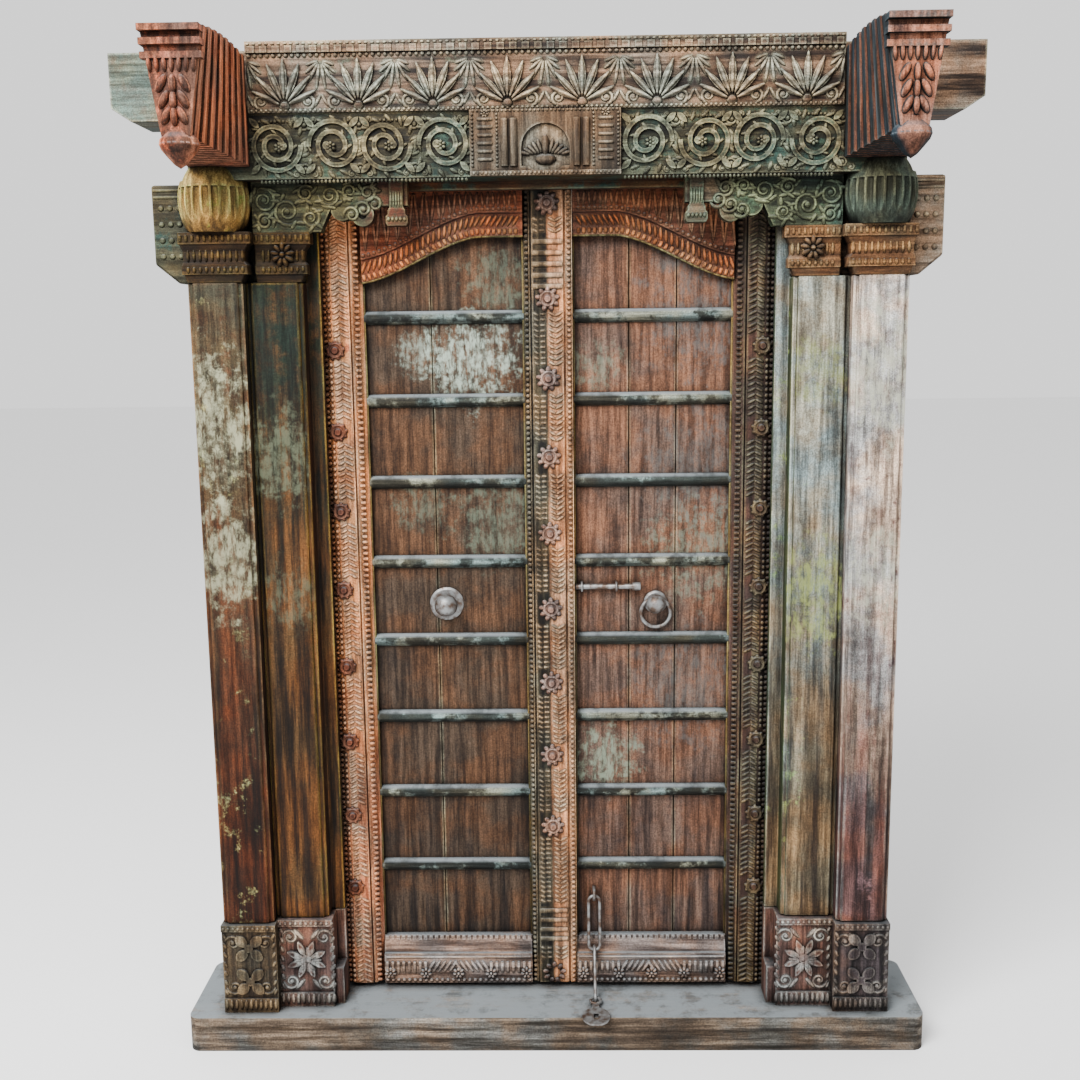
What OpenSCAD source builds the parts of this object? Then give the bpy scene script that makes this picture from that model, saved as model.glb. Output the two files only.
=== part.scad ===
// Carved door with two leaves in a timber frame of posts, bolsters, brackets and lintels.
// Origin: middle of the sill's underside. +X to the right seen from the front, front towards -Y.

/* [Doorway] */
// Width of the pair of leaves
leaf_pair_w = 1140; // [1000:5:1300]
// Height of a leaf
leaf_h = 2099; // [1900:1:2300]
// Gap under the leaves
sill_gap = 12; // [11:0.5:16]
// Gap above the leaves
head_gap = 6; // [4:0.5:12]
// Gap between a leaf and its inner post
side_gap = 22; // [16:0.5:40]
// Gap between the two leaves
meeting_gap = 2; // [1.5:0.5:8]

/* [Sill] */
// How far the sill reaches past the outer plinths
sill_margin = 91; // [40:1:140]
// Depth of the sill, front to back
sill_d = 300; // [270:1:400]
// Height of the sill
sill_h = 93; // [80:1:130]
// Radius of the sill's corners in plan
sill_corner_r = 28; // [10:1:40]

/* [Posts] */
// Width of an outer post
outer_post_w = 132; // [110:1:150]
// Width of an inner post
inner_post_w = 138; // [120:1:150]
// Reach of the outer posts in front of the sill's middle
outer_post_front = 110; // [100:1:120]
// Reach of the inner posts in front of the sill's middle
inner_post_front = 77; // [70:1:84]
// Reach of the frame behind the sill's middle
frame_back = 110; // [95:1:130]
// Height of the plinth blocks
plinth_h = 243; // [200:1:300]
// How far the outer plinth stands proud of its post
outer_plinth_proud = 12; // [6:1:18]
// How far the inner plinth stands proud of its post
inner_plinth_proud = 15; // [6:1:18]
// How far a plinth is wider than its post on one side
plinth_side_proud = 5; // [3:1:8]
// Flowers in a column on an outer plinth
outer_plinth_flowers = 2; // [1:1:3]
// Petals of a flower on an outer plinth
outer_plinth_petals = 4; // [4:1:8]
// Flowers in a column on an inner plinth
inner_plinth_flowers = 1; // [1:1:2]
// Petals of a flower on an inner plinth
inner_plinth_petals = 8; // [4:1:8]
// Width of the sunk strip along a post's front edges
post_strip_w = 11; // [6:0.5:16]
// Depth of the sunk strip along a post's front edges
post_strip_d = 7; // [4:0.5:10]
// How far the stops along the posts and the lintel cover the leaves' edges
stop_lap = 12; // [8:0.5:14]
// Thickness of those stops
stop_t = 24; // [16:1:34]
// Gap between those stops and the leaves
stop_gap = 9; // [8:0.5:12]

/* [Capitals and bolsters] */
// Height of the bolsters, shared by the capitals, cushions and spandrels in front of them
bolster_h = 234; // [220:1:250]
// Height of the capitals
capital_h = 117; // [90:1:140]
// How far an outer capital spreads sideways past its post
outer_capital_spread = 28; // [15:1:34]
// How far an outer capital stands in front of its post
outer_capital_proud = 14; // [8:1:24]
// How far an inner capital spreads past its post, towards the doorway
inner_capital_spread = 26; // [10:1:30]
// How far an inner capital stands in front of its post
inner_capital_proud = 15; // [8:1:24]
// Reach of the bolsters in front of the sill's middle
bolster_front = 52; // [40:1:60]
// Length of a bolster's horn beyond the outer post
bolster_horn = 91; // [60:1:120]
// Width of the chamfer under a bolster's horn
bolster_chamfer_w = 56; // [30:1:60]
// Height of the chamfer under a bolster's horn
bolster_chamfer_h = 46; // [20:1:60]
// Largest half width of a cushion block
cushion_r = 86; // [70:1:90]
// Half width of a cushion block at its ends
cushion_end_r = 66; // [50:1:69]
// Distance of a cushion block's axis in front of the sill's middle
cushion_front = 84; // [75:1:95]

/* [Lintels] */
// Height of the lintel beam
lintel_h = 148; // [120:1:180]
// Reach of the lintel in front of the sill's middle
lintel_front = 134; // [128:1:145]
// Height of the cornice beam
cornice_h = 157; // [130:1:190]
// Reach of the cornice's carved face in front of the sill's middle
cornice_front = 142; // [138:1:155]
// Length of a cornice horn beyond its bracket's middle
cornice_horn = 275; // [220:1:300]
// Width of the chamfer under a cornice horn
cornice_chamfer_w = 46; // [20:1:70]
// Height of the chamfer under a cornice horn
cornice_chamfer_h = 30; // [15:1:50]
// Height of the toothed band along the cornice's top edge
cornice_band_h = 26; // [18:1:34]
// How far that band stands proud
cornice_band_proud = 6; // [3:0.5:10]
// Teeth along that band
cornice_teeth = 48; // [24:1:60]
// Palmettes between the middle of the frieze and one bracket
palmettes_half = 4; // [2:1:6]
// Depth of the raised carving on the friezes
relief = 7; // [4:0.5:10]

/* [Niche] */
// Width of the niche panel
niche_panel_w = 350; // [300:1:400]
// Thickness of the niche panel
niche_panel_t = 12; // [8:0.5:18]
// Width of the niche
niche_w = 112; // [90:1:130]
// Height of the niche
niche_h = 96; // [80:1:104]

/* [Brackets] */
// Distance of a bracket's middle outside the outer post's inner face
bracket_inset = 33; // [20:1:45]
// How far the brackets reach in front of the lintel
bracket_reach = 350; // [250:1:400]
// Half width of a bracket at the back
bracket_back_r = 75; // [70:1:80]
// Half width of a bracket at the top of its front
bracket_front_r = 64; // [55:1:70]
// Half width of a bracket at the foot of its front
bracket_foot_r = 30; // [24:1:40]
// Height of a bracket
bracket_h = 240; // [220:1:260]
// Height of a bracket's underside above the lintel's underside
bracket_foot = 30; // [20:1:40]
// How much a bracket's top swells in the middle of its length
bracket_crown = 13; // [0:1:20]
// How much a bracket's underside rises towards the front
bracket_rise = 20; // [10:1:40]
// Reeds along one side of a bracket
reeds = 8; // [5:1:10]
// How far the reeds stand proud
reed_proud = 4; // [2:0.5:6]
// Largest radius of the pendant under a bracket
pendant_r = 42; // [34:1:46]
// Length of the pendant under a bracket
pendant_h = 84; // [60:1:90]

/* [Spandrels] */
// Thickness of a spandrel
spandrel_t = 38; // [30:1:40]
// Length of a spandrel's cut-out part past the inner post
spandrel_reach = 262; // [220:1:280]
// Depth of a spandrel below the lintel, over the doorway
spandrel_drop = 106; // [90:1:110]
// Radius of the volute at a spandrel's foot
volute_r = 27; // [22:1:30]
// Width of the small pendant post
drop_w = 52; // [40:1:60]

/* [Leaves] */
// Thickness of a leaf's frame
leaf_t = 66; // [60:1:70]
// Set-back of the leaves' front behind the sill's middle
leaf_setback = 8; // [4:1:16]
// Width of a hanging stile
stile_w = 108; // [95:1:120]
// Width of the meeting stile
meeting_w = 120; // [100:1:130]
// Thickness of the rails, in front of the boards
rail_t = 36; // [30:1:38]
// Thickness of the boards
board_t = 28; // [22:1:29]
// How far the boards reach into a stile's rebate
rebate = 12; // [8:1:16]
// Gap between two boards
board_seam = 2; // [1:0.5:3]
// How far one board reaches behind the next
board_lap = 12; // [6:1:18]
// Height of the bottom rail
bottom_rail_h = 130; // [110:1:150]
// Dentils along the top of a bottom rail
rail_dentils = 27; // [15:1:33]
// Height from the arch's spring to the top of the leaf
arch_drop = 228; // [200:1:250]
// Rise of the arch
arch_rise = 109; // [80:1:130]
// Battens on a leaf
batten_count = 8; // [6:1:8]
// Distance from the top batten's middle up to the spring of the arch
batten_top = 87; // [70:1:110]
// Height of the lowest batten's middle above the leaf's foot
batten_first = 329; // [300:1:345]
// Half height of a batten
batten_r = 17; // [13:0.5:20]
// Radius of the bosses
boss_r = 21; // [16:0.5:24]
// Height of the bosses
boss_h = 12; // [8:0.5:14]
// Bosses on a hanging stile
stile_boss_count = 8; // [6:1:8]
// Distance from the top boss of a hanging stile up to the leaf's top
stile_boss_top = 394; // [340:1:420]
// Height of the lowest of them above the leaf's foot
stile_boss_first = 278; // [250:1:290]
// Bosses on the meeting stile below the arch
meeting_boss_count = 8; // [6:1:8]
// Distance from the top one of them up to the leaf's top
meeting_boss_top = 273; // [250:1:300]
// Height of the lowest of them above the leaf's foot
meeting_boss_first = 448; // [420:1:460]

/* [Pivots] */
// Radius of a leaf's pivots
pivot_r = 14; // [10:0.5:18]
// Depth of the pivots' sockets
socket_depth = 40; // [30:1:60]
// Running clearance round a pivot
pivot_clearance = 0.08; // [0.05:0.01:0.1]
// Clearance at the end of a pivot
pivot_end_gap = 0.3; // [0.2:0.1:0.8]

/* [Ironwork] */
// Distance of the knobs from the doorway's middle
knob_x = 272; // [250:1:290]
// Radius of the left knob's rose
rose_r = 44; // [36:1:50]
// Radius of the right knob's rose
ring_rose_r = 30; // [24:1:32]
// Thickness of a rose
rose_t = 6; // [4:0.5:8]
// Radius of the left knob
knob_r = 30; // [24:1:34]
// Radius of the right knob
ring_knob_r = 25; // [22:0.5:26]
// Radius of a knob's neck
neck_r = 7; // [5:0.5:8]
// Length of a knob's neck
neck_l = 19; // [18:0.5:24]
// Radius of the ring pull, to the middle of its bar
ring_r = 38; // [34:1:42]
// Half thickness of the ring pull's bar
ring_bar_r = 4.5; // [3.5:0.5:5]
// Half thickness of the bolt
bolt_r = 7; // [5:0.5:9]
// Length of the bolt
bolt_l = 168; // [140:1:180]
// Travel of the bolt
bolt_travel = 38; // [25:1:44]
// Clearance of the bolt in its staples and in the keep
bolt_clearance = 0.5; // [0.3:0.1:0.8]
// Half thickness of the bolt's staples
bolt_staple_bar_r = 3; // [2:0.5:4]
// Radius of the chain's staple
staple_r = 14; // [13:0.5:15]
// How far the chain's staple stands out of the boards
staple_reach = 34; // [33:0.5:36]
// Half thickness of the chain's bars
chain_bar_r = 4; // [3:0.5:4.5]
// Distance of the chain from the doorway's middle
chain_x = 108; // [100:1:116]
// Height of the chain's staple above the leaf's foot
chain_z = 247; // [240:1:260]
// Length of the upper link, between its end bars
link_1_l = 144; // [130:1:146]
// Half width of the upper link
link_1_r = 15; // [12:0.5:20]
// Lean of the upper link, in degrees
link_1_lean = 11; // [10:0.5:14]
// Half width of the lower link
link_2_r = 10; // [9:0.5:12]
// Lean of the lower link, in degrees
link_2_lean = 36; // [30:1:40]
// Radius of the hasp's eye
hasp_eye_r = 13; // [12:0.5:15]
// Length of the hasp's neck
hasp_neck_l = 24; // [16:1:30]
// Width of the hasp's neck
hasp_neck_w = 18; // [14:1:24]
// Radius of the hasp's round end
hasp_r = 36; // [30:1:38]
// Thickness of the hasp
hasp_t = 5; // [4:0.5:5]
// Length of the slot in the hasp
slot_l = 30; // [24:1:34]
// Width of the slot in the hasp
slot_w = 13; // [9:0.5:16]

/* [Hidden] */
// Overrun of every cut past the face it opens
cut = 2;
// Gap between ironwork that hangs or rests and what carries it
rest_gap = 0.3;
$fn = 64;

// Heights
leaf_z0 = sill_h + sill_gap;
leaf_z1 = leaf_z0 + leaf_h;
lintel_z = leaf_z1 + head_gap;
cornice_z = lintel_z + lintel_h;
cornice_top = cornice_z + cornice_h;
plinth_top = sill_h + plinth_h;
post_top = lintel_z - bolster_h;
capital_top = post_top + capital_h;
cushion_h = lintel_z + bracket_foot - capital_top;
arch_spring = leaf_z1 - arch_drop;
bracket_z = lintel_z + bracket_foot;
// Spacings that follow from the leaf's height
batten_pitch = (leaf_h - arch_drop - batten_top - batten_first) / (batten_count - 1);
stile_boss_pitch = (leaf_h - stile_boss_top - stile_boss_first) / (stile_boss_count - 1);
meeting_boss_pitch = (leaf_h - meeting_boss_top - meeting_boss_first) / (meeting_boss_count - 1);

// Depths: a leaf's front, its boards and its back
leaf_y = leaf_setback;
board_y = leaf_y + rail_t;
leaf_back = leaf_y + leaf_t;
outer_plinth_front = outer_post_front + outer_plinth_proud;
inner_plinth_front = inner_post_front + inner_plinth_proud;
frame_d = frame_back + bolster_front;
spandrel_y = -bolster_front - spandrel_t;
bracket_y = -lintel_front;

// Widths
leaf_half = leaf_pair_w / 2;
doorway_half = leaf_half + side_gap;
outer_post_x = doorway_half + inner_post_w;
outer_post_end = outer_post_x + outer_post_w;
outer_plinth_x = outer_post_x - plinth_side_proud;
outer_plinth_end = outer_post_end + plinth_side_proud;
inner_plinth_x = doorway_half - 2 * plinth_side_proud;
sill_w = 2 * (outer_plinth_end + sill_margin);
bolster_end = outer_post_end + bolster_horn;
heel_r = leaf_t / 2;
// How far the round heel stays inside the leaf's faces
heel_ease = 0.5;
pivot_x = leaf_half - heel_r;
pivot_y = leaf_y + heel_r;
stile_in = leaf_half - stile_w;
meeting_half = meeting_w / 2;
right_edge = meeting_half + meeting_gap;
bracket_x = outer_post_x + bracket_inset;
frieze_half = bracket_x - bracket_back_r;
lintel_reach = bracket_x + bracket_back_r;
cornice_reach = bracket_x + cornice_horn;

// Sections of the stiles: strips along the front, as shares of the stile's width and the rail's depth
inner_strip_share = 0.26;
groove_share = 0.04;
groove_depth_share = 0.16;
inner_strip_low_share = 0.55;

// The chain's places in the plane across the leaf, worked out link by link
chain_staple_z = leaf_z0 + chain_z;
staple_leg_z = chain_staple_z - staple_r;
bar_seat = 2 * chain_bar_r + rest_gap;
link_1_top_y = board_y - staple_reach + staple_r + cut;
link_1_top_z = staple_leg_z + bar_seat;
link_1_foot_y = link_1_top_y - link_1_l * sin(link_1_lean);
link_1_foot_z = link_1_top_z - link_1_l * cos(link_1_lean);
link_2_top_y = link_1_foot_y + bar_seat * sin(link_2_lean);
link_2_top_z = link_1_foot_z + bar_seat * cos(link_2_lean);
link_2_foot_z = sill_h + rest_gap + chain_bar_r + link_2_r * (1 - cos(link_2_lean));
link_2_l = (link_2_top_z - link_2_foot_z) / cos(link_2_lean);
link_2_foot_y = link_2_top_y - link_2_l * sin(link_2_lean);
hasp_y = link_2_foot_y + bar_seat * sin(link_2_lean);
hasp_z = link_2_foot_z + bar_seat * cos(link_2_lean);
hasp_disc_at = 2 * hasp_eye_r + hasp_neck_l + hasp_r - chain_bar_r;
hasp_rest_z = sill_h + hasp_t / 2 + rest_gap;
hasp_drop = asin((hasp_z - hasp_rest_z) / (hasp_disc_at + hasp_r));

// The ring pull hangs on the neck of the right knob
// Knobs and bolt stand between two battens, counted in batten spacings from the lowest one
knob_step_share = 3.46;
bolt_step_share = 3.675;
knob_height = leaf_z0 + batten_first + batten_pitch * knob_step_share;
ring_y = board_y - rose_t - ring_bar_r - rest_gap;
ring_top_z = knob_height + neck_r + ring_bar_r + rest_gap;
bolt_height = leaf_z0 + batten_first + batten_pitch * bolt_step_share;
bolt_tip = right_edge + cut;
bolt_stand_off = 2 * bolt_r + cut;
bolt_y = board_y - bolt_stand_off;
keep_r = bolt_r + bolt_clearance;
keep_depth = bolt_travel + 2 * bolt_clearance;
// The bolt's collar stops at the second staple when the bolt is shot
bolt_collar_share = 0.12;
bolt_collar_l = bolt_l * bolt_collar_share;
bolt_collar_x = bolt_tip + bolt_l - bolt_collar_l;
staple_second_x = bolt_collar_x - bolt_travel - bolt_staple_bar_r - 2 * bolt_clearance;

dark_wood = [0.27, 0.17, 0.13];
red_wood = [0.42, 0.22, 0.16];
green_wood = [0.33, 0.36, 0.29];
ochre_wood = [0.52, 0.41, 0.24];
grey_wood = [0.42, 0.43, 0.42];
orange_wood = [0.55, 0.32, 0.2];
iron = [0.42, 0.45, 0.46];

// A box from one corner to the opposite one
module block(low, high) {
    translate(low) cube(high - low);
}

// What is drawn for the right side, moved to the left side
module on_left() {
    mirror([1, 0, 0]) children();
}

// Draws an outline in X and Z as a plate from front to back
module plate(front, back) {
    translate([0, back, 0]) rotate([90, 0, 0]) linear_extrude(back - front) children();
}

// Sill: thick plank with rounded corners and two pivot sockets
module sill() {
    color(grey_wood)
    difference() {
        linear_extrude(sill_h) rounded_plan(sill_w, sill_d, sill_corner_r);
        for (side = [-1, 1])
            translate([side * pivot_x, pivot_y, sill_h - socket_depth])
                cylinder(r = pivot_r + pivot_clearance, h = socket_depth + cut);
    }
}

module rounded_plan(w, d, r) {
    square([w - 2 * r, d], center = true);
    square([w, d - 2 * r], center = true);
    for (sx = [-1, 1], sy = [-1, 1])
        translate([sx * (w / 2 - r), sy * (d / 2 - r)]) circle(r);
}

// Plinth blocks: a moulded foot, a panel with raised flowers in a column and a top fillet
plinth_foot_share = 0.16;
plinth_top_share = 0.07;
plinth_panel_inset_share = 0.12;
plinth_side_share = 0.42;

module plinth(x0, x1, front, proud, flowers, petals) {
    foot_h = plinth_h * plinth_foot_share;
    cap_h = plinth_h * plinth_top_share;
    step = proud / 2;
    margin = (x1 - x0) * plinth_panel_inset_share;
    panel_h = plinth_h - foot_h - cap_h;
    flower_r = min((x1 - x0) / 2 - margin, panel_h / flowers / 2);
    block([x0, -front, sill_h], [x1, frame_back, sill_h + foot_h]);
    block([x0, -front + step, sill_h + foot_h], [x1, frame_back, plinth_top - cap_h]);
    block([x0, -front, plinth_top - cap_h], [x1, frame_back, plinth_top]);
    for (i = [0 : flowers - 1])
        translate([(x0 + x1) / 2, -front + step, sill_h + foot_h + panel_h * (i + 0.5) / flowers])
            flower(flower_r, step, petals);
}

// Lens-shaped petals round a button, raised from a face towards the front
petal_room_share = 2.9;
petal_start_share = 0.18;
button_share = 0.24;

module flower(r, h, petals) {
    width_share = petal_room_share / petals;
    rotate([90, 0, 0]) {
        linear_extrude(h) {
            for (i = [0 : petals - 1])
                rotate((i + 0.5) * 360 / petals) translate([r * petal_start_share, 0])
                    petal(r * (1 - petal_start_share), width_share);
            circle(r * button_share);
        }
    }
}

// A petal along +X: the overlap of two circles, so that both edges are true arcs
module petal(l, width_share) {
    half_w = l * width_share / 2;
    arc_r = (l * l / 4 + half_w * half_w) / (2 * half_w);
    intersection() {
        translate([l / 2, arc_r - half_w]) circle(arc_r);
        translate([l / 2, half_w - arc_r]) circle(arc_r);
    }
}

module outer_plinth() {
    plinth(outer_plinth_x, outer_plinth_end, outer_plinth_front, outer_plinth_proud,
        outer_plinth_flowers, outer_plinth_petals);
}

// The inner plinth has a second, lower block towards the doorway, in front of the leaf's edge
module inner_plinth() {
    plinth(inner_plinth_x, outer_plinth_x, inner_plinth_front, inner_plinth_proud,
        inner_plinth_flowers, inner_plinth_petals);
    door_stop(sill_h, plinth_top);
    block([leaf_half - stop_lap, -inner_post_front, sill_h],
        [inner_plinth_x + cut, leaf_y - stop_gap, sill_h + plinth_h * plinth_side_share]);
}

// Posts: plain baulks with a sunk strip along both front edges
module post(x0, x1, front) {
    low = post_strip_d - front;
    translate([0, 0, plinth_top]) linear_extrude(post_top - plinth_top) polygon([
        [x0, frame_back], [x0, low], [x0 + post_strip_w, low], [x0 + post_strip_w, -front],
        [x1 - post_strip_w, -front], [x1 - post_strip_w, low], [x1, low], [x1, frame_back]
    ]);
}

// Stop in front of a leaf's edge, standing on the sill beside the inner post
module door_stop(z0, z1) {
    block([leaf_half - stop_lap, leaf_y - stop_gap - stop_t, z0],
        [doorway_half, leaf_y - stop_gap, z1]);
}

module outer_post() {
    post(outer_post_x, outer_post_end, outer_post_front);
}

module inner_post() {
    post(doorway_half, outer_post_x, inner_post_front);
    door_stop(plinth_top, lintel_z);
}

// Capitals: a moulding that runs round the front and both sides, drawn once across and once along
// Each step of the moulding: share of the height reached, share of the spread at that step
capital_shares = [[0, 0], [0.16, 0.3], [0.16, 0.62], [0.34, 0.62], [0.42, 0.34], [0.62, 0.4],
    [0.76, 0.78], [0.76, 1], [1, 1]];

module capital(x0, x1, front, side_a, side_b, proud) {
    steps = [for (s = capital_shares) s];
    back_steps = [for (i = [len(capital_shares) - 1 : -1 : 0]) capital_shares[i]];
    intersection() {
        plate(-front - proud - cut, -bolster_front) polygon(concat(
            [for (s = steps) [x1 + side_b * s[1], post_top + capital_h * s[0]]],
            [for (s = back_steps) [x0 - side_a * s[1], post_top + capital_h * s[0]]]
        ));
        translate([x0 - side_a - cut, 0, 0]) rotate([90, 0, 90])
            linear_extrude(x1 - x0 + side_a + side_b + 2 * cut) polygon(concat(
                [[-bolster_front, post_top]],
                [for (s = steps) [-front - proud * s[1], post_top + capital_h * s[0]]],
                [[-bolster_front, capital_top]]
            ));
    }
}

module outer_capital() {
    capital(outer_post_x, outer_post_end, outer_post_front,
        outer_capital_spread, outer_capital_spread / 2, outer_capital_proud);
}

module inner_capital() {
    capital(doorway_half, outer_post_x - outer_capital_spread, inner_post_front,
        inner_capital_spread, 0, inner_capital_proud);
}

// Bolsters: beams across the post tops, with a chamfer under the horn
module bolster() {
    plate(-bolster_front, frame_back) polygon([
        [doorway_half, post_top], [bolster_end - bolster_chamfer_w, post_top],
        [bolster_end, post_top + bolster_chamfer_h], [bolster_end, lintel_z], [doorway_half, lintel_z]
    ]);
}

// Cushion blocks: a fluted barrel in front of the bolster
cushion_flutes = 12;
cushion_flute_share = 0.1;

module cushion() {
    mid_x = outer_post_x + outer_post_w / 2 - plinth_side_proud;
    bulge = cushion_r - cushion_end_r;
    arc_r = (cushion_h * cushion_h / 4 + bulge * bulge) / (2 * bulge);
    side_y = cushion_front + cushion_r + cut;
    flute_low = cushion_h * cushion_flute_share;
    difference() {
        intersection() {
            translate([mid_x, -cushion_front, capital_top]) rotate_extrude() intersection() {
                translate([cushion_r - arc_r, cushion_h / 2]) circle(arc_r);
                square([cushion_r, cushion_h]);
            }
            translate([mid_x - cushion_r - cut, 0, 0]) rotate([90, 0, 90])
                linear_extrude(2 * (cushion_r + cut)) polygon([
                    [-side_y, capital_top - cut], [-bolster_front, capital_top - cut],
                    [-bolster_front, lintel_z], [-lintel_front, lintel_z],
                    [-lintel_front, cornice_z], [-side_y, cornice_z]
                ]);
        }
        for (i = [1 : cushion_flutes - 1])
            translate([mid_x, -cushion_front, capital_top]) rotate(180 + i * 180 / cushion_flutes)
                translate([cushion_r, 0, flute_low])
                    cylinder(r = cushion_r * cushion_flute_share, h = lintel_z - capital_top - 2 * flute_low);
    }
}

// Brackets: upright slices from the lintel outwards, each second one standing proud as a reed
bracket_bands = 3;
bracket_band_share = 0.055;
bracket_head_share = 0.1;

module bracket() {
    slices = 2 * reeds;
    slice_d = bracket_reach * (1 - bracket_head_share) / slices;
    top = bracket_z + bracket_h;
    for (i = [0 : slices - 1]) {
        t = i / slices;
        extra = i % 2 == 1 ? reed_proud : 0;
        top_r = bracket_back_r + (bracket_front_r - bracket_back_r) * t + extra - reed_proud;
        foot_r = bracket_back_r + (bracket_foot_r - bracket_back_r) * t + extra - reed_proud;
        swell = bracket_crown * 4 * t * (1 - t);
        translate([bracket_x, 0, 0])
            plate(bracket_y - slice_d * (i + 1), bracket_y - slice_d * i + (i == 0 ? 0 : cut))
                polygon([[-foot_r, bracket_z + bracket_rise * t], [foot_r, bracket_z + bracket_rise * t],
                    [top_r, top + swell], [-top_r, top + swell]]);
    }
    bracket_head();
    bracket_pendant();
}

// Front of a bracket: bands under the top, then a tongue that narrows to the pendant
module bracket_head() {
    top = bracket_z + bracket_h;
    head_d = bracket_reach * bracket_head_share;
    back = bracket_y - bracket_reach + head_d;
    band_h = bracket_h * bracket_band_share;
    translate([bracket_x, 0, 0]) {
        plate(back - head_d / 2, back + cut) polygon([
            [-bracket_foot_r, bracket_z + bracket_rise], [bracket_foot_r, bracket_z + bracket_rise],
            [bracket_front_r, top], [-bracket_front_r, top]
        ]);
        for (i = [0 : bracket_bands - 1])
            block([-bracket_front_r, back - head_d * (1 - i / bracket_bands / 2), top - band_h * (2 * i + 1)],
                [bracket_front_r, back, top - band_h * 2 * i]);
    }
}

// Lotus bud under the front of a bracket: share of the radius, share of the length, from the top
pendant_shares = [[0, 0], [0.62, 0], [0.66, 0.12], [0.95, 0.3], [1, 0.42], [0.9, 0.55], [0.62, 0.72],
    [0.3, 0.9], [0, 1]];

module bracket_pendant() {
    translate([bracket_x, bracket_y - bracket_reach + pendant_r, bracket_z + bracket_rise + pendant_h / 4])
        rotate_extrude() polygon([for (s = pendant_shares) [pendant_r * s[0], -pendant_h * s[1]]]);
}

// Spandrels: a plank under the lintel with a cut outline, a volute and a small pendant post
spandrel_notch_share = 0.56;
volute_eye_share = 0.38;
volute_step_shares = [1.8, 1.5];

module spandrel() {
    inner_x = doorway_half - spandrel_reach;
    outer_x = outer_post_x - outer_capital_spread;
    low = lintel_z - spandrel_drop;
    volute_x = inner_x + drop_w + 2 * volute_r + cut;
    notch_z = lintel_z - spandrel_drop * spandrel_notch_share;
    notch_x = doorway_half - inner_capital_spread - volute_r;
    difference() {
        plate(spandrel_y, -bolster_front) union() {
            polygon([
                [outer_x, capital_top], [outer_x, lintel_z], [inner_x, lintel_z],
                [inner_x, notch_z], [notch_x - volute_r, notch_z], [notch_x, capital_top]
            ]);
            translate([volute_x, low + volute_r]) circle(volute_r);
            translate([volute_x + volute_r * volute_step_shares[0], low + volute_r * volute_step_shares[1]])
                circle(volute_r);
        }
        translate([volute_x, spandrel_y - cut, low + volute_r]) rotate([-90, 0, 0])
            cylinder(r = volute_r * volute_eye_share, h = relief + cut);
    }
    drop_post(inner_x + drop_w / 2, low);
}

// Small pendant post: bands wider at the foot, share of the width and share of the height
drop_shares = [[0.62, 1], [0.62, 0.4], [0.8, 0.34], [0.8, 0.26], [1, 0.2], [1, 0.06], [0.86, 0]];

module drop_post(x, low) {
    half_w = drop_w / 2;
    translate([x, 0, 0]) plate(spandrel_y - relief, -bolster_front) polygon(concat(
        [for (s = drop_shares) [half_w * s[0], low + spandrel_drop * s[1]]],
        [for (i = [len(drop_shares) - 1 : -1 : 0])
            [-half_w * drop_shares[i][0], low + spandrel_drop * drop_shares[i][1]]]
    ));
}

// Lintel: beam over the leaves, with a scroll frieze and the sockets of the upper pivots
scroll_pitch_share = 0.86;
scroll_ring_share = 0.37;
scroll_line_share = 0.07;
scroll_eye_share = 0.17;
scroll_leaves = 4;
scroll_leaf_start_share = 1.05;
scroll_leaf_fill_share = 0.94;
scroll_leaf_width_share = 0.44;
// Radii of the half rings that wind into a scroll, outermost first
scroll_turn_shares = [1, 0.8, 0.58, 0.4];

module lintel() {
    color(green_wood)
    difference() {
        union() {
            block([-lintel_reach, -lintel_front, lintel_z], [lintel_reach, frame_back, cornice_z]);
            block([stop_lap - leaf_half, leaf_y - stop_gap - stop_t, leaf_z1 - stop_lap],
                [leaf_half - stop_lap, leaf_y - stop_gap, lintel_z + cut]);
            for (side = [-1, 1]) on_side(side) scrolls();
        }
        for (side = [-1, 1])
            translate([side * pivot_x, pivot_y, lintel_z - cut])
                cylinder(r = pivot_r + pivot_clearance, h = socket_depth + cut);
    }
}

module on_side(side) {
    if (side < 0) on_left() children();
    else children();
}

// Scrolls in a row, turned up and down by turns, with leaves in the corners between them
module scrolls() {
    start = niche_panel_w / 2;
    count = round((frieze_half - start) / (lintel_h * scroll_pitch_share));
    pitch = (frieze_half - start) / count;
    scroll_r = lintel_h * scroll_ring_share;
    leaf_at = scroll_r * scroll_leaf_start_share;
    leaf_room = pitch / 2 / cos(180 / scroll_leaves) - leaf_at;
    plate(-lintel_front - relief, -lintel_front)
        for (i = [0 : count - 1])
            translate([start + pitch * (i + 0.5), lintel_z + lintel_h / 2]) rotate(180 * i) {
                scroll(scroll_r, lintel_h * scroll_line_share);
                for (k = [0 : scroll_leaves - 1])
                    rotate((k + 0.5) * 360 / scroll_leaves)
                        translate([leaf_at, 0])
                            petal(leaf_room * scroll_leaf_fill_share, scroll_leaf_width_share);
            }
}

// Where a scroll's turn number i ends along its middle line, for a scroll of radius 1
function turn_end(i) = i == 0 ? -scroll_turn_shares[0]
    : turn_end(i - 1) + (i % 2 == 1 ? 2 : -2) * scroll_turn_shares[i];

function turn_middle(i) = i == 0 ? 0
    : turn_end(i - 1) + (i % 2 == 1 ? 1 : -1) * scroll_turn_shares[i];

// A volute of half rings, each joined to the end of the one before, with a round eye
module scroll(r, line) {
    turns = len(scroll_turn_shares);
    for (i = [0 : turns - 1])
        translate([r * turn_middle(i), 0]) rotate(180 * (i % 2)) half_ring(r * scroll_turn_shares[i], line);
    translate([r * turn_end(turns - 1), 0]) circle(r * scroll_eye_share);
}

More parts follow.
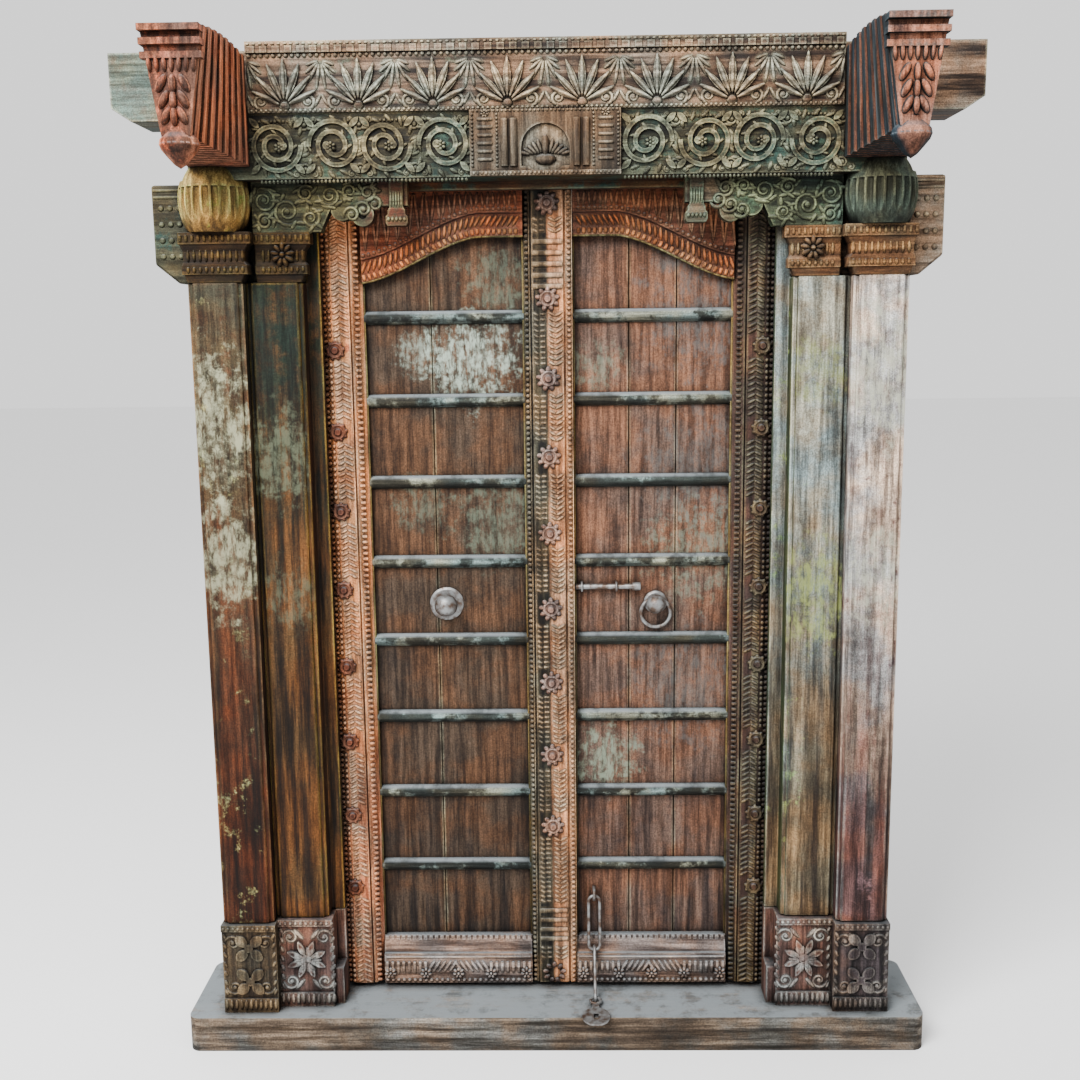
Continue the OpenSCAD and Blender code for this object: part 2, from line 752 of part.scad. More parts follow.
module half_ring(r, line) {
    outer_r = r + line / 2;
    intersection() {
        difference() {
            circle(outer_r);
            circle(r - line / 2);
        }
        translate([-outer_r, -cut]) square([2 * outer_r, outer_r + cut]);
    }
}

// Niche panel: a small shrine front between two pairs of columns, planted on the lintel
niche_column_share = 0.05;
niche_base_share = 0.14;
niche_depth_share = 0.7;
niche_column_shares = [1, 2.2];

module niche_panel() {
    half_w = niche_panel_w / 2;
    back = -lintel_front;
    front = back - niche_panel_t;
    column_w = niche_panel_w * niche_column_share;
    base_h = lintel_h * niche_base_share;
    niche_z = lintel_z + base_h;
    arch_r = niche_w / 2;
    color(dark_wood) {
        difference() {
            block([-half_w, front, lintel_z], [half_w, back, cornice_z]);
            plate(front - cut, front + niche_panel_t * niche_depth_share) union() {
                translate([-arch_r, niche_z]) square([niche_w, niche_h - arch_r]);
                translate([0, niche_z + niche_h - arch_r]) circle(arch_r);
            }
        }
        for (side = [-1, 1], k = niche_column_shares)
            translate([side * (arch_r + column_w * k), front, niche_z])
                cylinder(r = column_w / 2, h = lintel_h - 2 * base_h);
        block([-half_w, front - niche_panel_t / 2, lintel_z], [half_w, front, niche_z - base_h / 2]);
    }
}

// Cornice: top beam with horns, a toothed band along its edge and a frieze of palmettes
palmette_spread = 130;
palmette_start_share = 0.14;
petal_shares = [0.72, 0.84, 0.95, 1, 0.95, 0.84, 0.72];
palmette_petals = len(petal_shares);
palmette_petal_share = 0.2;

module cornice() {
    color(dark_wood) {
        plate(-bolster_front, frame_back) polygon([
            [cornice_chamfer_w - cornice_reach, cornice_z], [cornice_reach - cornice_chamfer_w, cornice_z],
            [cornice_reach, cornice_z + cornice_chamfer_h], [cornice_reach, cornice_top],
            [-cornice_reach, cornice_top], [-cornice_reach, cornice_z + cornice_chamfer_h]
        ]);
        block([-frieze_half, -cornice_front, cornice_z], [frieze_half, -bolster_front, cornice_top]);
        block([-frieze_half, -cornice_front - cornice_band_proud, cornice_top - cornice_band_h],
            [frieze_half, -cornice_front, cornice_top]);
        cornice_tooth_row();
        palmettes();
    }
}

// Teeth along the lower half of the cornice's band
tooth_share = 0.58;

module cornice_tooth_row() {
    pitch = 2 * frieze_half / cornice_teeth;
    half_w = pitch * tooth_share / 2;
    band_y = -cornice_front - cornice_band_proud;
    band_z = cornice_top - cornice_band_h;
    for (i = [0 : cornice_teeth - 1]) {
        mid_x = pitch * (i + 0.5) - frieze_half;
        block([mid_x - half_w, band_y - cornice_band_proud / 2, band_z],
            [mid_x + half_w, band_y + cut, band_z + cornice_band_h * tooth_share]);
    }
}

module palmettes() {
    pitch = frieze_half / palmettes_half;
    petal_l = cornice_h - 2 * cornice_band_h;
    petal_room = petal_l * (1 - palmette_start_share);
    plate(-cornice_front - relief, -cornice_front)
        for (i = [0 : 2 * palmettes_half - 1])
            translate([pitch * (i + 0.5) - frieze_half, cornice_z + cornice_band_h / 2])
                for (k = [0 : palmette_petals - 1])
                    rotate(90 - palmette_spread / 2 + k * palmette_spread / (palmette_petals - 1))
                        translate([petal_l * palmette_start_share, 0])
                            petal(petal_room * petal_shares[k], palmette_petal_share);
}

// Stile section: strips along the front, a rebate for the boards at the back, a round heel to turn on
module hanging_stile() {
    low_y = leaf_y + rail_t * groove_depth_share;
    strip_w = stile_w * inner_strip_share;
    groove_w = stile_w * groove_share;
    translate([0, 0, leaf_z0]) linear_extrude(leaf_h) {
        translate([pivot_x, pivot_y]) circle(heel_r - heel_ease);
        polygon([
            [pivot_x, leaf_y], [stile_in + strip_w + groove_w, leaf_y],
            [stile_in + strip_w + groove_w, low_y], [stile_in + strip_w, low_y],
            [stile_in + strip_w, leaf_y + rail_t * groove_share],
            [stile_in, leaf_y + rail_t * inner_strip_low_share], [stile_in, board_y],
            [stile_in + rebate, board_y], [stile_in + rebate, leaf_back], [pivot_x, leaf_back]
        ]);
    }
}

// Meeting stile of the left leaf, with a square keep for the bolt cut into its edge
module left_meeting_stile() {
    low_y = leaf_y + rail_t * groove_depth_share;
    strip_w = meeting_w * inner_strip_share / 2;
    groove_w = meeting_w * groove_share;
    color(orange_wood)
    difference() {
        translate([0, 0, leaf_z0]) linear_extrude(leaf_h) polygon([
            [-meeting_half, board_y], [-meeting_half, leaf_y + rail_t * inner_strip_low_share],
            [strip_w - meeting_half, leaf_y + rail_t * groove_share], [strip_w - meeting_half, low_y],
            [strip_w + groove_w - meeting_half, low_y], [strip_w + groove_w - meeting_half, leaf_y],
            [meeting_half - strip_w - groove_w, leaf_y], [meeting_half - strip_w - groove_w, low_y],
            [meeting_half - strip_w, low_y], [meeting_half - strip_w, leaf_y + rail_t * groove_share],
            [meeting_half, leaf_y + rail_t * groove_share], [meeting_half, leaf_back],
            [rebate - meeting_half, leaf_back], [rebate - meeting_half, board_y]
        ]);
        block([meeting_half - keep_depth, bolt_y - keep_r, bolt_height - keep_r],
            [meeting_half + cut, bolt_y + keep_r, bolt_height + keep_r]);
    }
}

// Underside of the arch: eases up from the stile and runs level to the meeting edge
arch_points = 14;
arch_level_share = 0.72;
arch_ramp_share = 0.35;

function arch_ease(t) = arch_ramp_share * t + (1 - arch_ramp_share) * (3 * t * t - 2 * t * t * t);

function arch_line(from_x, to_x, lift) = [for (i = [0 : arch_points])
    [from_x + (to_x - from_x) * arch_level_share * i / arch_points,
     arch_spring + lift + arch_rise * arch_ease(i / arch_points)]];

// Top rail from the hanging stile to the meeting edge: a rail with a raised band along the arch
rail_band_share = 0.24;

module top_rail(stile_edge, far_edge) {
    band = arch_drop * rail_band_share;
    low_y = leaf_y + rail_t * groove_depth_share;
    plate(leaf_y, board_y) polygon(concat(
        arch_line(stile_edge, far_edge, band),
        [[far_edge, arch_spring + arch_rise + band], [far_edge, leaf_z1], [stile_edge, leaf_z1]]
    ));
    plate(low_y, board_y) polygon(concat(
        arch_line(stile_edge, far_edge, 0),
        [[far_edge, arch_spring + arch_rise], [far_edge, leaf_z1], [stile_edge, leaf_z1]]
    ));
}

// Bottom rail: upright face with a sloping top and a row of dentils along its upper edge
rail_face_share = 0.66;
dentil_h_share = 0.1;

module bottom_rail(x0, x1) {
    face_h = bottom_rail_h * rail_face_share;
    low_y = leaf_y + rail_t * inner_strip_low_share;
    translate([x0, 0, leaf_z0]) rotate([90, 0, 90]) linear_extrude(x1 - x0) polygon([
        [leaf_y, 0], [leaf_y, face_h], [leaf_y + rail_t * groove_depth_share, face_h],
        [low_y, bottom_rail_h], [board_y, bottom_rail_h], [board_y, 0]
    ]);
    pitch = (x1 - x0) / rail_dentils;
    half_w = pitch * tooth_share / 2;
    dentil_z = leaf_z0 + bottom_rail_h * (1 - dentil_h_share);
    for (i = [0 : rail_dentils - 1]) {
        mid_x = x0 + pitch * (i + 0.5);
        block([mid_x - half_w, low_y - rail_t * groove_depth_share, dentil_z],
            [mid_x + half_w, board_y, leaf_z0 + bottom_rail_h]);
    }
}

// Boards stand behind the rails and reach into the stiles' rebates
left_split_share = 0.42;
right_split_shares = [0.34, 0.63];

left_board_from = -stile_in - rebate;
left_board_to = rebate - meeting_half;
left_split = left_board_from + (left_board_to - left_board_from) * left_split_share;
right_board_to = stile_in + rebate;
right_splits = [for (s = right_split_shares) right_edge + (right_board_to - right_edge) * s];

// A board with a half lap at each edge that meets another board
module board(x0, x1, lap_before, lap_after) {
    half_y = board_y + board_t / 2;
    block([x0, board_y, leaf_z0], [x1, half_y, leaf_z1]);
    block([x0 + lap_before, half_y, leaf_z0], [x1 + lap_after, board_y + board_t, leaf_z1]);
}

// Battens: half-round bars across the boards, a little short of the stiles
batten_end_gap = 0.5;

module battens(x0, x1) {
    for (i = [0 : batten_count - 1])
        translate([x0 + batten_end_gap, board_y, leaf_z0 + batten_first + i * batten_pitch])
            rotate([90, 0, 90]) linear_extrude(x1 - x0 - 2 * batten_end_gap) intersection() {
                circle(batten_r);
                translate([-batten_r, -batten_r]) square([batten_r, 2 * batten_r]);
            }
}

// Bosses: turned buttons with a sunk ring, share of the radius and share of the height
boss_shares = [[0, 0], [1, 0], [1, 0.4], [0.82, 0.72], [0.62, 0.5], [0.5, 0.5], [0.34, 1], [0, 1]];

module boss(x, z) {
    translate([x, leaf_y, z]) rotate([90, 0, 0])
        rotate_extrude($fn = 32) polygon([for (s = boss_shares) [boss_r * s[0], boss_h * s[1]]]);
}

boss_line_share = 0.66;

module stile_bosses() {
    for (i = [0 : stile_boss_count - 1])
        boss(stile_in + stile_w * boss_line_share, leaf_z0 + stile_boss_first + i * stile_boss_pitch);
}

module meeting_bosses() {
    for (i = [0 : meeting_boss_count - 1])
        boss(0, leaf_z0 + meeting_boss_first + i * meeting_boss_pitch);
    boss(0, leaf_z1 - 2 * boss_r);
}

// Pivots: stout pins under and over the hanging stile, turning in the sill and the lintel
module bottom_pivot() {
    translate([pivot_x, pivot_y, sill_h - socket_depth + pivot_end_gap])
        cylinder(r = pivot_r, h = socket_depth - pivot_end_gap + sill_gap);
}

module top_pivot() {
    translate([pivot_x, pivot_y, leaf_z1])
        cylinder(r = pivot_r, h = head_gap + socket_depth - pivot_end_gap);
}

// Knobs: a dished rose on the boards, a neck and a domed head
rose_rim_share = 0.4;

module rose(x, r) {
    translate([x, board_y, knob_height]) rotate([90, 0, 0]) rotate_extrude() polygon([
        [neck_r, 0], [r, 0], [r, rose_t * rose_rim_share], [r - rose_t, rose_t], [neck_r, rose_t]
    ]);
}

module knob(x, r) {
    translate([x, board_y, knob_height]) rotate([90, 0, 0]) rotate_extrude() union() {
        square([neck_r, rose_t + neck_l]);
        intersection() {
            translate([0, rose_t + neck_l]) circle(r);
            translate([0, rose_t + neck_l]) square([r, r]);
        }
    }
}

// Ring pull: a plain ring that hangs on the right knob's neck
module ring_pull() {
    color(iron)
    translate([knob_x, ring_y, ring_top_z - ring_r]) rotate([90, 0, 0])
        rotate_extrude() translate([ring_r, 0]) circle(ring_bar_r, $fn = 32);
}

// Slide bolt: a round bar with a collar, at its drawn position just short of the meeting stile
bolt_collar_r_share = 1.5;

module slide_bolt() {
    color(iron) {
        translate([bolt_tip, bolt_y, bolt_height]) rotate([0, 90, 0]) cylinder(r = bolt_r, h = bolt_l);
        translate([bolt_collar_x, bolt_y, bolt_height]) rotate([0, 90, 0])
            cylinder(r = bolt_collar_r_share * bolt_r, h = bolt_collar_l);
    }
}

// Staples: hoops round the bolt, driven into the boards
staple_first_share = 0.1;

module bolt_staples() {
    color(iron)
    for (x = [bolt_tip + bolt_l * staple_first_share, staple_second_x])
        translate([x, 0, 0])
            hoop(bolt_height, bolt_y, keep_r + bolt_staple_bar_r, bolt_staple_bar_r);
}

// A hoop in the plane across the leaf: two legs out of the boards and a half ring
module hoop(z, y, r, bar_r) {
    translate([0, y, z]) rotate([0, 90, 0]) rotate([0, 0, 180])
        rotate_extrude(angle = 180) translate([r, 0]) circle(bar_r, $fn = 32);
    for (side = [-1, 1])
        translate([0, board_y, z + side * r]) rotate([90, 0, 0])
            cylinder(r = bar_r, h = board_y - y, $fn = 32);
}

module chain_staple() {
    color(iron)
    translate([chain_x, 0, 0])
        hoop(chain_staple_z, board_y - staple_reach + staple_r, staple_r, chain_bar_r);
}

// A long link from one end bar to the other, hanging down from its top bar
module link(l, r) {
    side_l = l - 2 * r;
    for (side = [-1, 1])
        translate([side * r, 0, -r - side_l]) cylinder(r = chain_bar_r, h = side_l, $fn = 32);
    translate([0, 0, -r]) rotate([90, 0, 0])
        rotate_extrude(angle = 180) translate([r, 0]) circle(chain_bar_r, $fn = 32);
    translate([0, 0, -r - side_l]) rotate([90, 0, 0]) rotate([0, 0, 180])
        rotate_extrude(angle = 180) translate([r, 0]) circle(chain_bar_r, $fn = 32);
}

module chain_link_1() {
    color(iron)
    translate([chain_x, link_1_top_y, link_1_top_z]) rotate([-link_1_lean, 0, 0]) link(link_1_l, link_1_r);
}

module chain_link_2() {
    color(iron)
    translate([chain_x, link_2_top_y, link_2_top_z]) rotate([-link_2_lean, 0, 0]) rotate([0, 0, 90])
        link(link_2_l, link_2_r);
}

// Hasp: an eye, a flat neck and a round end with a slot, lying on the sill
module chain_hasp() {
    color(iron)
    translate([chain_x, hasp_y, hasp_z]) rotate([hasp_drop, 0, 0]) {
        translate([0, -hasp_eye_r, 0])
            rotate_extrude() translate([hasp_eye_r, 0]) circle(chain_bar_r, $fn = 32);
        translate([0, 0, -hasp_t / 2]) linear_extrude(hasp_t) difference() {
            union() {
                translate([-hasp_neck_w / 2, -hasp_disc_at])
                    square([hasp_neck_w, hasp_disc_at - 2 * hasp_eye_r]);
                translate([0, -hasp_disc_at]) circle(hasp_r);
            }
            translate([0, -hasp_disc_at]) square([slot_w, slot_l], center = true);
        }
    }
}

// Each piece in its place and colour
module left_outer_plinth() {
    color(dark_wood) on_left() outer_plinth();
}

module left_inner_plinth() {
    color(red_wood) on_left() inner_plinth();
}

module right_outer_plinth() {
    color(dark_wood) outer_plinth();
}

module right_inner_plinth() {
    color(red_wood) inner_plinth();
}

module left_outer_post() {
    color(dark_wood) on_left() outer_post();
}

module left_inner_post() {
    color(green_wood) on_left() inner_post();
}

module right_outer_post() {
    color(red_wood) outer_post();
}

module right_inner_post() {
    color(ochre_wood) inner_post();
}

module left_outer_capital() {
    color(dark_wood) on_left() outer_capital();
}

module left_inner_capital() {
    color(ochre_wood) on_left() inner_capital();
}

module right_outer_capital() {
    color(dark_wood) outer_capital();
}

module right_inner_capital() {
    color(ochre_wood) inner_capital();
}

module left_bolster() {
    color(green_wood) on_left() bolster();
}

module right_bolster() {
    color(dark_wood) bolster();
}

module left_cushion() {
    color(ochre_wood) on_left() cushion();
}

module right_cushion() {
    color(green_wood) cushion();
}

module left_bracket() {
    color(red_wood) on_left() bracket();
}

module right_bracket() {
    color(red_wood) bracket();
}

module left_spandrel() {
    color(green_wood) on_left() spandrel();
}

module right_spandrel() {
    color(green_wood) spandrel();
}

module left_hanging_stile() {
    color(orange_wood) on_left() hanging_stile();
}

module left_top_rail() {
    color(orange_wood) top_rail(-stile_in, -meeting_half);
}

module left_bottom_rail() {
    color(red_wood) bottom_rail(-stile_in, -meeting_half);
}

module left_board_1() {
    color(dark_wood) board(left_board_from, left_split, 0, board_lap);
}

module left_board_2() {
    color(dark_wood) board(left_split + board_seam, left_board_to, board_lap, 0);
}

module left_battens() {
    color(grey_wood) battens(-stile_in, -meeting_half);
}

module left_stile_bosses() {
    color(red_wood) on_left() stile_bosses();
}

module left_meeting_bosses() {
    color(red_wood) meeting_bosses();
}

module left_rose() {
    color(iron) rose(-knob_x, rose_r);
}

module left_knob() {
    color(iron) knob(-knob_x, knob_r);
}

module left_top_pivot() {
    color(iron) on_left() top_pivot();
}

module left_bottom_pivot() {
    color(iron) on_left() bottom_pivot();
}

module right_hanging_stile() {
    color(red_wood) hanging_stile();
}

module right_top_rail() {
    color(red_wood) top_rail(stile_in, right_edge);
}

module right_bottom_rail() {
    color(red_wood) bottom_rail(right_edge, stile_in);
}

module right_board_1() {
    color(dark_wood) board(right_edge, right_splits[0], 0, board_lap);
}

module right_board_2() {
    color(dark_wood) board(right_splits[0] + board_seam, right_splits[1], board_lap, board_lap);
}

module right_board_3() {
    color(dark_wood) board(right_splits[1] + board_seam, right_board_to, board_lap, 0);
}

module right_battens() {
    color(grey_wood) battens(right_edge, stile_in);
}

module right_stile_bosses() {
    color(red_wood) stile_bosses();
}

module right_rose() {
    color(iron) rose(knob_x, ring_rose_r);
}

module right_knob() {
    color(iron) knob(knob_x, ring_knob_r);
}

module right_top_pivot() {
    color(iron) top_pivot();
}

module right_bottom_pivot() {
    color(iron) bottom_pivot();
}

sill();
left_outer_plinth();
left_inner_plinth();
right_outer_plinth();
right_inner_plinth();
left_outer_post();
left_inner_post();
right_outer_post();
right_inner_post();
left_outer_capital();
left_inner_capital();
right_outer_capital();
right_inner_capital();
left_bolster();
right_bolster();
left_cushion();
right_cushion();
left_bracket();
right_bracket();
left_spandrel();
right_spandrel();
lintel();
niche_panel();
cornice();
left_hanging_stile();
left_meeting_stile();
left_top_rail();
left_bottom_rail();
left_board_1();
left_board_2();
left_battens();
left_stile_bosses();
left_meeting_bosses();
left_rose();
left_knob();
left_top_pivot();
left_bottom_pivot();
right_hanging_stile();
right_top_rail();
right_bottom_rail();
right_board_1();
right_board_2();
right_board_3();
right_battens();
right_stile_bosses();
right_rose();
right_knob();
right_top_pivot();
right_bottom_pivot();
ring_pull();
slide_bolt();
bolt_staples();
chain_staple();
chain_link_1();
chain_link_2();
chain_hasp();
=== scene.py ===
import math
import random

import bmesh
import bpy
from mathutils import Matrix, Vector


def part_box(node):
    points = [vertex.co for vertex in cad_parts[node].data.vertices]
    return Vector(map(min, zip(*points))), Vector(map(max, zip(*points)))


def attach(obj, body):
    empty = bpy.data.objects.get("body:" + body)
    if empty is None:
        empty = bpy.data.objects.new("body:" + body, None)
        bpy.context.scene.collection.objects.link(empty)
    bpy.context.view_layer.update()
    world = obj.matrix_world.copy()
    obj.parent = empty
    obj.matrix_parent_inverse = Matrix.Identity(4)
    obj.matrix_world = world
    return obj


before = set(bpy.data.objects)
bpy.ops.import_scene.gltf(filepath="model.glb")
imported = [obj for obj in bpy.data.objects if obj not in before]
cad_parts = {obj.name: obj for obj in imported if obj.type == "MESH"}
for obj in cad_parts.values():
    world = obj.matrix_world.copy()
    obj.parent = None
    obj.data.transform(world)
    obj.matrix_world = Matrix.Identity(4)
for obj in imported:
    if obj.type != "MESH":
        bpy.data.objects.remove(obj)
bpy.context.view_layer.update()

# Sill: one thick plank on the floor, bare wood worn grey by feet, dusty on top and browner in front; its
# top also gets a painted highlight.
# The shader group for old timber is made here, because the sill is the first piece that needs it: grain
# streaks, flaking paint, painted shade in hollows and on undersides, rubbed edges that also carry a painted
# highlight, and dust with a painted highlight on what faces up.
group = bpy.data.node_groups.new("old_timber", "ShaderNodeTree")
for kind, label in (
    ("NodeSocketVector", "grain"),
    ("NodeSocketColor", "wood"),
    ("NodeSocketColor", "dark"),
    ("NodeSocketColor", "paint"),
    ("NodeSocketFloat", "paint amount"),
    ("NodeSocketColor", "upper"),
    ("NodeSocketFloat", "upper from"),
    ("NodeSocketFloat", "upper to"),
    ("NodeSocketVector", "upper axis"),
    ("NodeSocketColor", "front"),
    ("NodeSocketFloat", "front amount"),
    ("NodeSocketColor", "side"),
    ("NodeSocketFloat", "side amount"),
    ("NodeSocketColor", "rubbed_and_highlight"),
    ("NodeSocketFloat", "dust_and_highlight"),
):
    group.interface.new_socket(label, in_out="INPUT", socket_type=kind)
for kind, label in (
    ("NodeSocketColor", "color"),
    ("NodeSocketFloat", "roughness"),
    ("NodeSocketFloat", "height"),
):
    group.interface.new_socket(label, in_out="OUTPUT", socket_type=kind)
nodes = group.nodes
links = group.links
given = nodes.new("NodeGroupInput").outputs
result = nodes.new("NodeGroupOutput").inputs
place = nodes.new("ShaderNodeTexCoord").outputs["Object"]


def feed(socket, value):
    if isinstance(value, bpy.types.NodeSocket):
        links.new(value, socket)
    else:
        socket.default_value = value


def noise(points, scale, detail, rough):
    n = nodes.new("ShaderNodeTexNoise")
    for label, value in (("Vector", points), ("Scale", scale), ("Detail", detail), ("Roughness", rough)):
        feed(n.inputs[label], value)
    return n.outputs["Fac"]


def spread(value, low, high, out_low=0.0, out_high=1.0):
    n = nodes.new("ShaderNodeMapRange")
    n.interpolation_type = "SMOOTHSTEP"
    feed(n.inputs["Value"], value)
    for label, v in (("From Min", low), ("From Max", high), ("To Min", out_low), ("To Max", out_high)):
        feed(n.inputs[label], v)
    return n.outputs["Result"]


def calc(operation, a, b):
    n = nodes.new("ShaderNodeMath")
    n.operation = operation
    feed(n.inputs[0], a)
    feed(n.inputs[1], b)
    return n.outputs["Value"]


def product(first, *others):
    for other in others:
        first = calc("MULTIPLY", first, other)
    return first


def vector(operation, a, b, output="Vector"):
    n = nodes.new("ShaderNodeVectorMath")
    n.operation = operation
    feed(n.inputs[0], a)
    feed(n.inputs[1], b)
    return n.outputs[output]


def blend(factor, a, b, mode="MIX"):
    n = nodes.new("ShaderNodeMix")
    n.data_type = "RGBA"
    n.blend_type = mode
    for i, v in ((0, factor), (6, a), (7, b)):
        feed(n.inputs[i], v)
    return n.outputs[2]


def tinted(color, tint):
    return blend(1.0, color, tint, "MULTIPLY")


def openness(distance, inside):
    n = nodes.new("ShaderNodeAmbientOcclusion")
    n.samples = 3
    n.inside = inside
    n.inputs["Distance"].default_value = distance
    return n.outputs["AO"]


along = vector("MULTIPLY", place, given["grain"])
fine = noise(along, 260.0, 5.0, 0.7)
streak = noise(along, 42.0, 5.0, 0.62)
broad = noise(along, 11.0, 3.0, 0.55)
mottle = noise(along, 70.0, 5.0, 0.68)
blotch = noise(place, 4.2, 5.0, 0.62)
warm = noise(place, 6.5, 5.0, 0.62)
flake = noise(place, 15.0, 7.0, 0.72)
grit = noise(place, 330.0, 4.0, 0.75)
skin = blend(spread(streak, 0.36, 0.64), given["dark"], given["wood"])
skin = blend(spread(blotch, 0.42, 0.72, 0.0, 0.8), skin, given["dark"])
reached = vector("DOT_PRODUCT", place, given["upper axis"], "Value")
room = calc("SUBTRACT", given["upper to"], given["upper from"])
reached = calc("ADD", reached, product(calc("SUBTRACT", broad, 0.5), room))
in_upper = spread(reached, given["upper from"], given["upper to"])
skin = blend(product(in_upper, spread(flake, 0.36, 0.58, 0.4, 1.0)), skin, given["upper"])
facing = nodes.new("ShaderNodeSeparateXYZ")
links.new(nodes.new("ShaderNodeTexCoord").outputs["Normal"], facing.inputs["Vector"])
to_front = product(spread(facing.outputs["Y"], -0.4, -0.8), given["front amount"])
skin = blend(product(to_front, spread(flake, 0.34, 0.5, 0.4, 1.0)), skin, given["front"])
to_side = spread(calc("ABSOLUTE", facing.outputs["X"], 0.0), 0.5, 0.85)
to_side = product(to_side, given["side amount"])
skin = blend(product(to_side, spread(flake, 0.34, 0.5, 0.6, 1.0)), skin, given["side"])
bare_back = (0.08, 0.052, 0.034, 1.0)
skin = blend(product(spread(facing.outputs["Y"], 0.5, 0.9), 0.85), skin, bare_back)
grain_line = (0.12, 0.09, 0.08, 1.0)
skin = blend(product(spread(fine, 0.5, 0.74), 0.6), skin, tinted(skin, grain_line))
loose = calc("ADD", product(flake, 0.62), product(broad, 0.38))
paint_from = calc("SUBTRACT", 0.8, product(given["paint amount"], 0.6))
paint_left = spread(loose, paint_from, calc("ADD", paint_from, 0.07))
paint_left = product(paint_left, spread(fine, 0.7, 0.5, 0.35, 1.0))
faded = blend(spread(blotch, 0.3, 0.7), (0.35, 0.35, 0.35, 1.0), (1.0, 1.0, 1.0, 1.0))
skin = blend(paint_left, skin, blend(0.6, given["paint"], faded, "MULTIPLY"))
# Convex edges take the rubbed colour. This is worn wood, and also a painted highlight where edges catch the
# light.
rubbed_highlit_edge = product(spread(openness(0.006, True), 0.92, 0.45), spread(flake, 0.36, 0.6, 0.25, 1.0))
skin = blend(product(rubbed_highlit_edge, 0.8), skin, given["rubbed_and_highlight"])
# Painted shade: where little open space surrounds a surface (hollows, corners, the boards under the
# battens), its colour is darkened toward a near-black tint. The same openness mask keeps dust out of those
# places.
open_for_shade_and_dust = spread(openness(0.034, False), 0.36, 0.92)
painted_hollow_shade_tint = (0.05, 0.04, 0.036, 1.0)
skin = blend(open_for_shade_and_dust, tinted(skin, painted_hollow_shade_tint), skin)
for pattern, low, high, dim, bright in (
    (grit, 0.36, 0.66, (0.55, 0.53, 0.51, 1.0), (1.32, 1.32, 1.3, 1.0)),
    (mottle, 0.36, 0.66, (0.42, 0.4, 0.39, 1.0), (1.5, 1.48, 1.44, 1.0)),
    (warm, 0.4, 0.6, (0.8, 0.92, 1.02, 1.0), (1.2, 1.02, 0.86, 1.0)),
):
    skin = tinted(skin, blend(spread(pattern, low, high), dim, bright))
# Painted shade: faces turned downward are darkened, as if shadowed from the light above.
painted_underside_shade_tint = (0.2, 0.18, 0.17, 1.0)
skin = blend(product(spread(facing.outputs["Z"], 0.05, -0.45), 0.75), skin, tinted(skin, painted_underside_shade_tint))
# Dust on faces turned upward. Its pale colour also serves as a painted highlight on those tops, as on the
# battens.
dust_and_highlight_color = (0.175, 0.195, 0.205, 1.0)
lying_dust_and_highlight = product(spread(facing.outputs["Z"], 0.35, 0.9), spread(flake, 0.34, 0.52, 0.4, 1.0))
skin = blend(product(lying_dust_and_highlight, given["dust_and_highlight"], open_for_shade_and_dust), skin, dust_and_highlight_color)
links.new(skin, result["color"])
bare_rough = spread(streak, 0.3, 0.7, 0.62, 0.82)
links.new(calc("ADD", product(paint_left, -0.14), bare_rough), result["roughness"])
ridges = calc("ADD", product(streak, 0.6), product(fine, 0.35))
links.new(calc("ADD", ridges, product(paint_left, 0.25)), result["height"])


def seen(color):
    light = 1.9
    return tuple(((c / 255 + 0.055) / 1.055) ** 2.4 / light for c in color) + (1.0,)


upright_grain = (1.0, 1.0, 0.06)
level_grain = (0.06, 1.0, 1.0)


def timber(
    name, slot, wood, dark, rubbed_and_highlight, paint=(80, 90, 80), amount=0.0, grain=upright_grain,
    upper=None, span=(0.0, 1.0), axis=(0, 0, 1), front=None, side=None, dust_and_highlight=0.35,
):
    mat = bpy.data.materials.new(name)
    mat.use_nodes = True
    mat["slot"] = slot
    tree = mat.node_tree
    surface = tree.nodes["Principled BSDF"]
    surface.inputs["Specular IOR Level"].default_value = 0.12
    look = tree.nodes.new("ShaderNodeGroup")
    look.node_tree = group
    for label, value in (
        ("grain", grain),
        ("wood", seen(wood)),
        ("dark", seen(dark)),
        ("paint", seen(paint)),
        ("paint amount", amount),
        ("upper", seen(upper or wood)),
        ("upper from", span[0]),
        ("upper to", span[1]),
        ("upper axis", axis),
        ("front", seen(front or wood)),
        ("front amount", 0.9 if front else 0.0),
        ("side", seen(side or wood)),
        ("side amount", 0.95 if side else 0.0),
        ("rubbed_and_highlight", seen(rubbed_and_highlight)),
        ("dust_and_highlight", dust_and_highlight),
    ):
        look.inputs[label].default_value = value
    bump = tree.nodes.new("ShaderNodeBump")
    bump.inputs["Strength"].default_value = 0.55
    bump.inputs["Distance"].default_value = 0.004
    tree.links.new(look.outputs["height"], bump.inputs["Height"])
    tree.links.new(look.outputs["color"], surface.inputs["Base Color"])
    tree.links.new(look.outputs["roughness"], surface.inputs["Roughness"])
    tree.links.new(bump.outputs["Normal"], surface.inputs["Normal"])
    return mat


def dress(mat, edge, *names):
    for n in names:
        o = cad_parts[n]
        o.data.materials.clear()
        o.data.materials.append(mat)
        weld = o.modifiers.new("weld", "WELD")
        weld.merge_threshold = 0.00005
        soft = o.modifiers.new("edges", "BEVEL")
        soft.width = edge
        soft.segments = 2
        soft.limit_method = "ANGLE"
        soft.angle_limit = math.radians(32)


sill_wood = timber(
    "sill wood", "sill_wood", wood=(158, 150, 141), dark=(66, 58, 49), rubbed_and_highlight=(173, 166, 159),
    paint=(97, 103, 94), amount=0.35, grain=level_grain, dust_and_highlight=0.95,
)
dress(sill_wood, 0.006, "sill")

